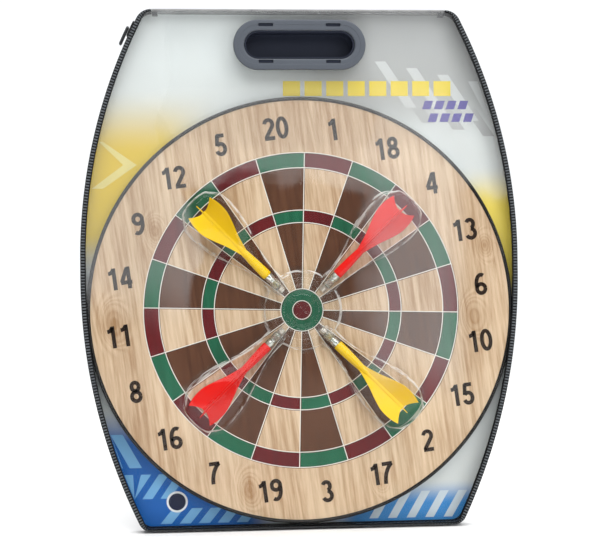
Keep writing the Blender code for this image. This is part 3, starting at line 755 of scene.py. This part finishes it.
# --- Board: core, backing and hanger ------------------------------------------------------------
# Behind the steel is a disc of brown fibreboard and a black paper backing, with a keyhole hanger
# plate held by two rivets.
paint("core_disc", made_of("fibreboard", tint(150, 112, 74), 0.4, 300.0, 0.9, 0.1, 1400.0, 0.9))
paint("backing_sheet", made_of("black_backing_paper", tint(36, 36, 38), 0.25, 60.0, 0.8, 0.15, 1600.0, 0.5))
zinc = made_of("dull_zinc", tint(165, 165, 160), 0.3, 200.0, 0.4, 0.25, 2000.0, 0.2, Metallic=1.0)
for node in ("hanger_plate", "hanger_rivet_1", "hanger_rivet_2"):
    paint(node, zinc)

# --- Darts --------------------------------------------------------------------------------------
# Each dart is a small magnet in a turned metal barrel, and a one-piece plastic shaft with
# three swept fins. They lie on the face with their magnets round the bull.
DARTS = {
    "dart_1": (135.0, 9.7, 180.0, "yellow"),
    "dart_2": (45.0, 4.0, 0.0, "red"),
    "dart_3": (225.0, 4.0, 0.0, "red"),
    "dart_4": (315.0, 9.7, 180.0, "yellow"),
}
TIP_R, TIP_RISE = 24.0, 3.9
CORE_R, FIN_ROOT, FIN_THIN, FIN_END = 2.2, 0.62, 0.24, 0.2
FIN_STEPS = 10
FIN_LOOP = 2 * FIN_STEPS + 2  # both sides of a fin, its tip, and the core's corner after it
FLIGHT = np.array([
    (47.0, 47.0, 3.2), (50.0, 50.0, 3.6), (55.7, 55.7, 5.1), (65.7, 65.7, 8.5), (75.6, 75.6, 12.8),
    (85.0, 86.4, 16.7), (91.0, 94.4, 17.3), (96.0, 101.2, 16.4), (99.9, 106.2, 14.8),
])


def smooth_through(x, y, at):
    """A smooth curve through given points: on each span a cubic whose end slopes are the mean
    slopes of the neighbouring spans."""
    x, y, at = (np.asarray(v, dtype=float) for v in (x, y, at))
    slope = np.gradient(y, x)
    k = np.clip(np.searchsorted(x, at) - 1, 0, len(x) - 2)
    h = x[k + 1] - x[k]
    t = (at - x[k]) / h
    return (
        y[k] * (1 + 2 * t) * (1 - t) ** 2
        + slope[k] * h * t * (1 - t) ** 2
        + y[k + 1] * t * t * (3 - 2 * t)
        - slope[k + 1] * h * t * t * (1 - t)
    )


def dart_frame(heading, tilt):
    """The dart's origin at its magnet's face, and the directions along it, across it and up from
    the board, as rows."""
    angle, lean = math.radians(heading), math.radians(tilt)
    out = np.array([math.cos(angle), 0.0, math.sin(angle)])
    forward = np.array([0.0, -1.0, 0.0])
    along = out * math.cos(lean) + forward * math.sin(lean)
    up = forward * math.cos(lean) - out * math.sin(lean)
    return out * TIP_R + forward * (FACE_FRONT + TIP_RISE), np.stack([along, np.cross(up, along), up])


def turned_piece(profile, count=40):
    """A round surface in the dart's frame: each (distance, radius) turned about the dart's axis."""
    a = around(count)[None, :]
    s, r = (np.asarray(profile, dtype=float)[:, k : k + 1] for k in range(2))
    return together(s, r * np.cos(a), r * np.sin(a))


def fins(first_fin):
    """The shaft's end with its three fins: at each station a star. Along a fin's side, the distance
    from the axis goes from the core to the edge, and the half thickness thins as it does, closing
    in a blunt edge."""
    t = np.linspace(0, 1, 45)
    key = np.linspace(0, 1, len(FLIGHT))
    core_at, edge_at, tall = (smooth_through(key, FLIGHT[:, k], t) for k in range(3))
    side = np.linspace(0, 1, FIN_STEPS)
    loops = []
    for fin in range(3):
        a = math.radians(first_fin + 120 * fin)
        reach = CORE_R + (tall[:, None] - CORE_R) * side
        thick = FIN_ROOT - FIN_THIN * side + 0 * reach
        at = core_at[:, None] + (edge_at - core_at)[:, None] * side ** 1.6
        tip = tall[:, None] + FIN_END
        r = np.concatenate([reach, tip, reach[:, ::-1]], 1)
        w = np.concatenate([-thick, 0 * tip, thick[:, ::-1]], 1)
        s = np.concatenate([at, at[:, -1:], at[:, ::-1]], 1)
        loops.append(np.stack([s, r * math.sin(a) + w * math.cos(a), r * math.cos(a) - w * math.sin(a)], -1))
        b = a + math.radians(60)
        s, flat = core_at[:, None], np.ones((len(t), 1)) * CORE_R
        loops.append(np.stack([s, flat * math.sin(b), flat * math.cos(b)], -1))
    return np.concatenate(loops, 1)


metal = made_of("turned_barrel", tint(214, 218, 212), 0.2, 90.0, 0.26, 0.15, 900.0, 0.15, Metallic=1.0)
magnet_metal = made_of(
    "nickelled_magnet", tint(222, 214, 204), 0.2, 120.0, 0.28, 0.1, 700.0, 0.08, Metallic=0.85
)
plastic = {
    name: made_of(name + "_flight", colour, 0.08, 70.0, 0.34, 0.1, 500.0, 0.06, Specular_IOR_Level=0.1)
    for name, colour in (("yellow", tint(246, 204, 6)), ("red", tint(232, 26, 18)))
}
knurl = [(7.6 + 0.34 * k, 4.0 if k % 2 else 3.8) for k in range(16)]
BARREL = [(5.1, 0.4), (5.1, 2.6), (6.0, 3.5), (7.4, 4.0), *knurl, (13.2, 3.4), (14.2, 3.4), (14.8, 4.0)]
BARREL += [(15.2, 3.85), (15.7, 4.0), (19.6, 4.0), (20.0, 3.8), (20.0, 1.9), (12.7, 1.9), (12.7, 0.4)]
MAGNET = [(0.0, 0.02), (0.0, 2.8), (0.12, 3.05), (0.4, 3.3), (4.5, 3.3), (4.8, 3.1), (4.8, 0.02)]
SHAFT = [(13.0, 0.02), (13.0, 1.5), (20.3, 1.5), (20.3, 4.2), (20.6, 4.4), (24.0, 4.4), (30.0, 4.25)]
SHAFT += [(40.0, 3.85), (48.0, 3.35), (56.0, 2.6), (62.0, 0.3)]

for dart, (heading, tilt, first_fin, colour) in DARTS.items():
    origin, axes = dart_frame(heading, tilt)
    for part, profile, finish, slot in (
        ("magnet", MAGNET, magnet_metal, "nickel"),
        ("barrel", BARREL, metal, "barrel_metal"),
    ):
        local = turned_piece(profile)
        points = (origin + local @ axes) * MM
        shape = grid_faces(*local.shape[:2], wrap_rows=part == "barrel", wrap_cols=True)
        made = make_mesh(f"{dart}_{part}_turned", points, shape, [finish], smooth=28.0)
        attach(made, dart)
        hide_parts(f"{dart}_{part}")
    local = turned_piece(SHAFT, 36)
    star = fins(first_fin)
    rows, cols = star.shape[:2]
    shape = grid_faces(*local.shape[:2], wrap_cols=True).tolist()
    base = local.shape[0] * local.shape[1]
    shape += (grid_faces(rows, cols, wrap_cols=True) + base).tolist()
    last = base + (rows - 1) * cols
    for fin in range(3):
        for j in range(FIN_STEPS):
            near = last + fin * FIN_LOOP + j
            far = near + 2 * (FIN_STEPS - j)
            shape.append([near, near + 1, far - 1, far] if j < FIN_STEPS - 1 else [near, near + 1, far])
    steps = range(FIN_LOOP - 2, FIN_LOOP + 1)
    shape.append([last + (fin * FIN_LOOP + step) % cols for fin in range(3) for step in steps])
    points = (origin + np.concatenate([local.reshape(-1, 3), star.reshape(-1, 3)]) @ axes) * MM
    made = make_mesh(f"{dart}_flight_moulded", points, shape, [plastic[colour]], smooth=38.0)
    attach(made, dart)
    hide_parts(f"{dart}_flight")

# --- Clear tray ---------------------------------------------------------------------------------
# One sheet of clear plastic, vacuum formed over the darts: four leaf-shaped pockets that meet in a
# low round hub with pressed rings. A narrow flange lies on the face.
POCKET = np.array([
    (35.0, 8.5, 11.5), (50.0, 8.8, 14.6), (62.0, 11.0, 17.0), (76.0, 16.0, 20.0), (92.0, 21.5, 25.0),
    (106.0, 24.0, 29.2), (118.0, 24.5, 31.0), (127.0, 22.0, 31.2), (133.5, 16.5, 30.8),
])
TIP, HUB_R, FLANGE, HUB_RISE = 4.5, 36.0, 3.0, 11.5


def clear_plastic(name, haze_and_reflection, tone, rough, ripple, ior, relief, edge_reflection):
    """Clear sheet: what is behind it, mixed with a gloss by Fresnel except for lamps' rays, then
    with a thin milky white where the haze_and_reflection function says (the tray's faint haze and the
    window's painted reflection) and, broken by the ripples, as painted reflection where the sheet is steep."""
    made = bpy.data.materials.new(name)
    made.use_nodes = True
    tree = made.node_tree
    tree.nodes.clear()
    where, white = here(tree), (1.0, 1.0, 1.0, 1.0)
    waves = noise(tree, where, ripple, Distortion=0.6)
    bump = add(tree, "Bump", {"Height": waves, "Strength": relief, "Distance": 0.002}).outputs[0]
    gloss = add(tree, "BsdfAnisotropic", {"Color": white, "Roughness": rough, "Normal": bump})
    through = add(tree, "BsdfTransparent", {"Color": (0.99, 0.995, 0.99, 1.0)})
    mirror = add(tree, "Fresnel", {"IOR": ior, "Normal": bump})
    seen = maths(tree, "SUBTRACT", 1.0, add(tree, "LightPath").outputs["Is Shadow Ray"])
    share = times(tree, mirror.outputs[0], seen)
    lit = add(tree, "MixShader", {"Fac": share, 1: through.outputs[0], 2: gloss.outputs[0]})
    haze_and_reflection_paint = add(tree, "BsdfDiffuse", {"Color": tone})
    # Painted reflection: milky white laid where the sheet is seen edge-on, broken by the ripples, in place of
    # the glancing reflections there.
    steep = fade(tree, add(tree, "LayerWeight", {"Blend": 0.5}).outputs["Facing"], 0.22, 0.75)
    crinkle = fade(tree, waves, 0.36, 0.6)
    painted_edge_reflection = times(tree, times(tree, steep, crinkle), edge_reflection)
    haze_and_reflection_share = times(tree, plus(tree, haze_and_reflection(tree, where), painted_edge_reflection, clamp=True), seen)
    with_haze_and_reflection = add(tree, "MixShader", {"Fac": haze_and_reflection_share, 1: lit.outputs[0], 2: haze_and_reflection_paint.outputs[0]})
    out = add(tree, "OutputMaterial")
    tree.links.new(with_haze_and_reflection.outputs[0], out.inputs["Surface"])
    return made


def even_bloom(tree, where):
    """A faint bloom in small soft clouds."""
    return times(tree, fade(tree, noise(tree, where, 60.0, 3.0), 0.45, 0.7), 0.012)


def tray_levels():
    """From foot to middle line: (share of the height, share of the width given up, tip drawn in). A
    leaning wall, a quarter circle over the edge, and a slightly crowned top."""
    up = np.linspace(0, 1, 7)[:-1]
    turn = np.linspace(0, math.pi / 2, 13)[:-1]
    flat = np.linspace(0, 1, 25)
    lost = np.concatenate([0.07 * up, 0.07 + 0.23 * (1 - np.cos(turn)), 0.3 + 0.7 * flat])
    rise = np.concatenate([0.75 * up, 0.75 + 0.25 * np.sin(turn), 1 + 0.03 * np.sin(flat * math.pi / 2)])
    return rise, lost, np.interp(lost, [0, 0.07, 0.3, 1.0], [0.0, 1.4, 5.0, 8.0])


def tray_loops(grown, rise, lost, drawn):
    """Closed lines round the tray: out along one side of each pocket, an elliptical tip, back along
    the other, and round the hub to the next. Widths and distances shrink by the share given up."""
    s = np.linspace(0, 1, 34)
    place = POCKET[0, 0] + (POCKET[-1, 0] - POCKET[0, 0]) * s
    width = smooth_through(POCKET[:, 0], POCKET[:, 1], place)
    tall = smooth_through(POCKET[:, 0], POCKET[:, 2], place)
    turn = np.linspace(0, math.pi / 2, 10)[1:]
    place = np.concatenate([place, POCKET[-1, 0] + TIP * np.sin(turn)])
    width = np.concatenate([width, POCKET[-1, 1] * np.cos(turn)])
    tall = np.concatenate([tall, np.full(len(turn), POCKET[-1, 2])])
    end, root = place[-1], place[0]
    stretch = (place - root) / (end - root)
    rise, lost, drawn = (np.atleast_1d(v)[:, None] for v in (rise, lost, drawn))
    start = root * (1 - lost)
    r = start + (end - drawn + grown - start) * stretch
    w = np.where(width > 1e-6, width + grown * (width > 0.5), 0.0) * (1 - lost)
    loops = []
    for heading in (45, 135, 225, 315):
        a = math.radians(heading)
        out, side = np.array([math.cos(a), math.sin(a)]), np.array([math.sin(a), -math.cos(a)])
        for hand, cut in ((1, slice(None)), (-1, slice(-2, None, -1))):
            xz = r[:, cut, None] * out + hand * w[:, cut, None] * side
            loops.append(np.concatenate([xz, (rise * tall[cut])[..., None]], -1))
        b = a + np.radians(np.linspace(14.5, 75.5, 12))
        ring = (HUB_R + grown) * (1 - lost)
        loops.append(together(ring * np.cos(b), ring * np.sin(b), rise * HUB_RISE))
    return np.concatenate(loops, 1)


rise, lost, drawn = tray_levels()
body = tray_loops(0.0, rise, lost, drawn)
from_middle = np.hypot(body[..., 0], body[..., 1])
for radius, height, width in ((32.0, 0.9, 0.9), (27.0, 1.3, 0.9), (21.5, 1.6, 1.0), (15.5, -0.8, 1.2)):
    body[..., 2] += height * np.exp(-(((from_middle - radius) / width) ** 2)) * (from_middle < 34)
flange = tray_loops(FLANGE, [0.0], [0.0], [0.0])
body = np.concatenate([flange, body])
tray_points = np.stack([body[..., 0], -(FACE_FRONT + 0.5 + body[..., 2]), body[..., 1]], -1) * MM
# The tray's faint cloudy bloom is its haze; the white on its steep walls, at strength 0.5, is painted
# reflection.
clear_tray = clear_plastic(
    "formed_clear_sheet", even_bloom, (0.95, 0.97, 0.97, 1.0), 0.04, 70.0, 1.38, 0.4, 0.5
)
tray_faces = grid_faces(*body.shape[:2], wrap_cols=True)
tray = make_mesh("formed_tray", tray_points, tray_faces, [clear_tray], smooth=70.0, closed=False)
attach(tray, "tray")
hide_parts("blister_tray")

# --- Clear window -------------------------------------------------------------------------------
# The front is one soft sheet of clear PVC, sewn in round its edge and pushed out by the tray. It
# has long soft ripples, milky patches of painted reflection, and a hole that the grip is set over.
TENT, TENT_FLAT, TENT_MARGIN, TENT_BOTTOM, TENT_TOP = 32.5, 100.0, 8.0, 186.0, 204.0
HOLE_R = 18.9
GRIP_Z, GRIP_SPAN = 236.0, 73.4
RIPPLE = 0.42
SEAM, SHEET_DEPTH = 2.5, 15.2


def eased(v):
    """A smooth step from 0 to 1: three times the square less twice the cube."""
    t = np.clip(v, 0, 1)
    return t * t * (3 - 2 * t)


def tent(x, z):
    """How far the sheet stands proud of its edge: the tray's height times a smooth step in from the
    sides and one in from the top and bottom."""
    radius = np.where(z > UPPER_SIDE[1], UPPER_SIDE[0], LOWER_SIDE[0])
    centre = np.where(z > UPPER_SIDE[1], UPPER_SIDE[1], LOWER_SIDE[1])
    side = CASE_HALF_WIDTH - radius + np.sqrt(radius**2 - (z - centre) ** 2) - TENT_MARGIN
    edge = np.where(z > 0, TENT_TOP, TENT_BOTTOM)
    across = TENT * eased((side - np.abs(x)) / (side - TENT_FLAT))
    return across * eased((edge - np.abs(z)) / (edge - TENT_FLAT))


def window_points(rows=64):
    """The case's outline drawn in towards the bull by even shares, laid on the tent, with ripples
    of under half a millimetre that fade out at the edge."""
    edge = swept(OUTLINE, SEAM, 0.0)[:, 0, :] / MM
    dense = np.concatenate([edge, edge[:1]])
    run = np.concatenate([[0], np.cumsum(np.linalg.norm(np.diff(dense, axis=0), axis=1))])
    at = np.linspace(0, run[-1], 321)[:-1]
    x, z = (np.interp(at, run, dense[:, k]) for k in (0, 2))
    share = np.linspace(0.012, 1.0, rows)[:, None]
    x, z = x * share, z * share
    ripple = np.sin(x * 0.043 + 1.3 * np.sin(z * 0.021)) * np.sin(z * 0.037 + 0.8 * np.sin(x * 0.03))
    ripple *= RIPPLE * eased((1 - share) * 8)
    return np.stack([x, -(SHEET_DEPTH + tent(x, z) + ripple), z], -1) * MM


def from_grip(points):
    """Offsets (x, z) of points from the nearest place on the grip's middle line, in millimetres,
    and their lengths."""
    x, z = points[..., 0] / MM, points[..., 2] / MM - GRIP_Z
    offset = np.stack([x - np.clip(x, -GRIP_SPAN / 2, GRIP_SPAN / 2), z], -1)
    return offset, np.linalg.norm(offset, axis=-1)


def opened(points, faces):
    """The sheet with the grip's hole: faces whose middle is inside it are left out, and the corners
    between left-out and kept faces are moved straight out or in to the hole's edge."""
    inside = from_grip(points[faces].mean(1))[1] < HOLE_R
    shared = np.intersect1d(faces[inside], faces[~inside])
    offset, reach = from_grip(points[shared])
    points[shared[:, None], [0, 2]] += offset * (HOLE_R / reach - 1)[:, None] * MM
    return faces[~inside].tolist()


points = window_points()
columns = points.shape[1]
points = points.reshape(-1, 3)
faces = opened(points, grid_faces(len(points) // columns, columns, wrap_cols=True)) + [list(range(columns))]


def window_bloom(tree, where):
    """The sheet's painted reflection, laid on as milky white: a broad even patch over the right half
    and lighter patches at the left and top, each with an edge bent by slow waves."""
    swing = maths(tree, "SUBTRACT", noise(tree, where, 9.0, Distortion=0.5), 0.5)
    place = add(tree, "SeparateXYZ", {"Vector": where})
    x = maths(tree, "MULTIPLY_ADD", swing, 0.16, place.outputs["X"])
    z = maths(tree, "MULTIPLY_ADD", swing, 0.12, place.outputs["Z"])
    right = times(tree, times(tree, fade(tree, x, 0.045, 0.075), fade(tree, z, -0.1, -0.03)), 0.11)
    right = times(tree, right, fade(tree, place.outputs["X"], 0.152, 0.125))
    left = times(tree, times(tree, fade(tree, x, -0.105, -0.112), fade(tree, z, -0.03, 0.02)), 0.11)
    top = times(tree, fade(tree, z, 0.098, 0.106), 0.07)
    return maths(tree, "MAXIMUM", plus(tree, right, left), top)


# Both the window's milky patches and the faint white where it is steep are painted reflection.
sheet_clear = clear_plastic(
    "clear_pvc_window", window_bloom, (0.9, 0.92, 0.93, 1.0), 0.05, 9.0, 1.2, 0.4, 0.1
)
window = make_mesh("pvc_window", points, faces, [sheet_clear], smooth=70.0, closed=False)


def stadium(radius, count=28):
    """Outline with two round ends: half circles about the two centres of the grip."""
    a = np.linspace(-math.pi / 2, math.pi / 2, count + 1)
    right = np.stack([GRIP_SPAN / 2 + radius * np.cos(a), GRIP_Z + radius * np.sin(a)], -1)
    left = np.stack([-GRIP_SPAN / 2 - radius * np.cos(a), GRIP_Z - radius * np.sin(a)], -1)
    return np.concatenate([right, left])


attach(window, "flap")
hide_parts("window_sheet")


# --- Bound edge ---------------------------------------------------------------------------------
# A folded black tape binds the window's edge and is sewn to the zip. Its outer half is ribbed, and
# it is narrower along the bottom and ends at the top corners. Its rib crests carry a painted highlight.
RIB, RIB_HEIGHT = 2.6, 0.35
REACH, LEAST_REACH = 5.6, 2.6
stations = resampled(ZIP_PATH, RIB / 6)
run = (np.arange(len(stations)) * RIB / 6)[:, None]
rib = np.clip(np.sin(run * 2 * math.pi / RIB), 0, 1) * RIB_HEIGHT
reach = np.maximum(REACH * (1 - 0.6 * np.abs(stations[:, 3:]) ** 4), LEAST_REACH)
flat = np.ones_like(reach)
inset = [1.2 * flat, 1.2 - rib, 1.4 - rib, 1.8 * flat, 0.68 * reach]
inset += [reach - 0.5, reach, reach - 0.2, 2.2 * flat, 2.2 * flat]
rises = np.array([[0, 0, 1, 1, 1, 0, 0, 0, 0, 0]])
depth = np.array([[11.4, 15.7, 16.1, 16.2, 16.2, 16.35, 16.2, 15.8, 15.8, 11.4]]) + rises * rib
binding = swept(stations, np.concatenate(inset, 1), depth)
uv = together(run, np.arange(10.0)[None, :])
tape_cloth, tree, shader = material("binding_weave_rib_highlight", {"Roughness": 0.75, "Specular IOR Level": 0.2})
place = add(tree, "SeparateXYZ", {"Vector": add(tree, "UVMap", uv_map="run").outputs[0]})
# Painted highlight: the crests of the outer half's ribs are coloured light grey, broken by the fibre noise.
crest = maths(tree, "SINE", times(tree, place.outputs["X"], 2 * math.pi / RIB))
ribbed = times(tree, fade(tree, crest, -0.3, 0.5), fade(tree, place.outputs["Y"], 5.0, 4.2))
fibres = noise(tree, here(tree), 1500.0)
highlight_fibre_break = add(tree, "MapRange", {"Value": fibres, "To Min": 0.5, "To Max": 1.0})
painted_rib_highlight = times(tree, ribbed, highlight_fibre_break.outputs[0])
cloth_and_painted_highlight = over(tree, painted_rib_highlight, tint(16, 17, 19), tint(104, 108, 112))
tree.links.new(cloth_and_painted_highlight, shader.inputs["Base Color"])
emboss(tree, shader.inputs["Normal"], fibres, 0.5, 0.0002)
edge = make_mesh("bound_edge", binding, capped(binding), [tape_cloth], uv=uv, smooth=50.0)
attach(edge, "flap")
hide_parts("edge_binding")

# --- Grip ---------------------------------------------------------------------------------------
# The grip is an oval bezel in slate-black plastic, set over a hole in the window. Four slots take
# the hooks of the cup behind it, which the fingers go into.
bezel_r, hole_r, rear, front = 22.3, 12.5, 15.8, 19.4


def cut_by(piece, cutters):
    """Cuts solids out of a piece, keeps the result as its mesh, and removes the solids."""
    for cutter in cutters:
        modifier = piece.modifiers.new(cutter.name, "BOOLEAN")
        modifier.operation, modifier.object, modifier.solver = "DIFFERENCE", cutter, "EXACT"
    bpy.context.view_layer.update()
    result = bpy.data.meshes.new_from_object(piece.evaluated_get(bpy.context.evaluated_depsgraph_get()))
    piece.modifiers.clear()
    piece.data = result
    for cutter in cutters:
        bpy.data.objects.remove(cutter)
    result.shade_smooth()
    result.set_sharp_from_angle(angle=math.radians(35))


def raised(profile):
    """A stadium profile as a grid: the outline at each of the profile's (radius, depth) pairs."""
    rings = [(stadium(radius), depth) for radius, depth in profile]
    return np.stack([together(line[:, 0], -depth, line[:, 1]) for line, depth in rings]) * MM


rim_turn = np.linspace(0, math.pi / 2, 7)
bezel_profile = [(bezel_r, rear)]
bezel_profile += [(bezel_r - 1.3 + 1.3 * math.cos(a), front - 1.3 + 1.3 * math.sin(a)) for a in rim_turn]
bezel_profile += [(bezel_r - 4.6, front), (bezel_r - 4.9, front - 0.25), (hole_r + 1.9, front - 0.25)]
bezel_profile += [
    (hole_r + 1.6 - 1.6 * math.sin(a), front - 0.25 - 1.6 + 1.6 * math.cos(a)) for a in rim_turn
]
bezel_profile += [(hole_r, rear)]
slate = made_of(
    "slate_plastic", tint(84, 89, 97), 0.15, 60.0, 0.45, 0.12, 1300.0, 0.25, Specular_IOR_Level=0.3
)
ring = raised(bezel_profile)
bezel = make_mesh("grip_bezel", ring, grid_faces(*ring.shape[:2], wrap_rows=True, wrap_cols=True), [slate])
cutters = []
SLOT_HALF, SLOT_AT = (6.6, 1.45), [(x, rise) for x in (-30.0, 30.0) for rise in (17.5, -15.0)]
for k, (x, rise) in enumerate(SLOT_AT):
    w, h = (half * share for half, share in zip(SLOT_HALF, squarish(20, 0.25)))
    loop = np.stack([together(x + w, -d, GRIP_Z + rise + h) for d in (12.0, 23.0)]) * MM
    cutters.append(make_mesh(f"slot_cutter_{k}", loop, capped(loop), [slate]))
cut_by(bezel, cutters)
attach(bezel, "flap")
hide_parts("handle_bezel")
cup_plastic = made_of(
    "cup_plastic", tint(42, 46, 58), 0.2, 60.0, 0.55, 0.1, 1300.0, 0.12, Specular_IOR_Level=0.15
)
paint("handle_cup", cup_plastic)

# --- Floor, light and camera --------------------------------------------------------------------
# A flat pale floor under a white surround, a large soft key light above and to the right, a broad
# panel at the right that the clear sheets mirror, a wide one overhead for the floor, and a camera
# a little left of square on.
FLOOR_HALF = 1.6
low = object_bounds()[0].z
corners = [(x, y, low - MM) for x, y in ((-1, -1), (1, -1), (1, 1), (-1, 1))]
points = np.array(corners) * [FLOOR_HALF, FLOOR_HALF, 1.0]
pale = made_of("pale_floor", tint(250, 250, 250), 0.02, 4.0, 0.9, 0.05, 200.0, 0.05)
floor = make_mesh("floor", points, [[0, 1, 2, 3]], [pale], closed=False)


def soft_light(name, at, towards, size, power):
    """A rectangular area light turned to face a point."""
    lamp = bpy.data.lights.new(name, "AREA")
    lamp.shape, lamp.size, lamp.size_y, lamp.energy = "RECTANGLE", *size, power
    made = bpy.data.objects.new(name, lamp)
    bpy.context.collection.objects.link(made)
    made.location = at
    made.rotation_euler = (Vector(towards) - Vector(at)).to_track_quat("-Z", "Y").to_euler()


soft_light("key", (0.35, -1.6, 1.75), (0, 0, 0.03), (2.4, 2.0), 37.0)
soft_light("side_panel", (1.5, -1.5, 0.4), (0, 0, 0.03), (0.9, 1.8), 9.0)
soft_light("overhead", (0.0, 0.3, 2.4), (0.0, 0.3, 0.0), (3.2, 3.2), 95.0)
world = bpy.data.worlds.new("studio")
world.use_nodes = True
tree = world.node_tree
sky = tree.nodes["Background"]
sky.inputs["Color"].default_value = (0.93, 0.95, 0.97, 1.0)
to_camera = add(tree, "LightPath").outputs["Is Camera Ray"]
surround = add(tree, "MapRange", {"Value": to_camera, "To Min": 0.34, "To Max": 1.1})
tree.links.new(surround.outputs[0], sky.inputs["Strength"])
bpy.context.scene.world = world
bpy.context.scene.view_settings.view_transform = "Standard"

camera = bpy.data.objects.new("camera", bpy.data.cameras.new("camera"))
bpy.context.collection.objects.link(camera)
camera.data.sensor_width, camera.data.lens = 36.0, 70.6
aim = Vector((-0.0014, -0.014, 0.037))
yaw, distance, roll = math.radians(3.8), 1.05, math.radians(0.58)
camera.location = aim + Vector((-math.sin(yaw), -math.cos(yaw), 0.0)) * distance
look = (aim - camera.location).to_track_quat("-Z", "Y").to_matrix()
camera.rotation_euler = (look @ Matrix.Rotation(-roll, 3, "Z")).to_euler()
bpy.context.scene.camera = camera
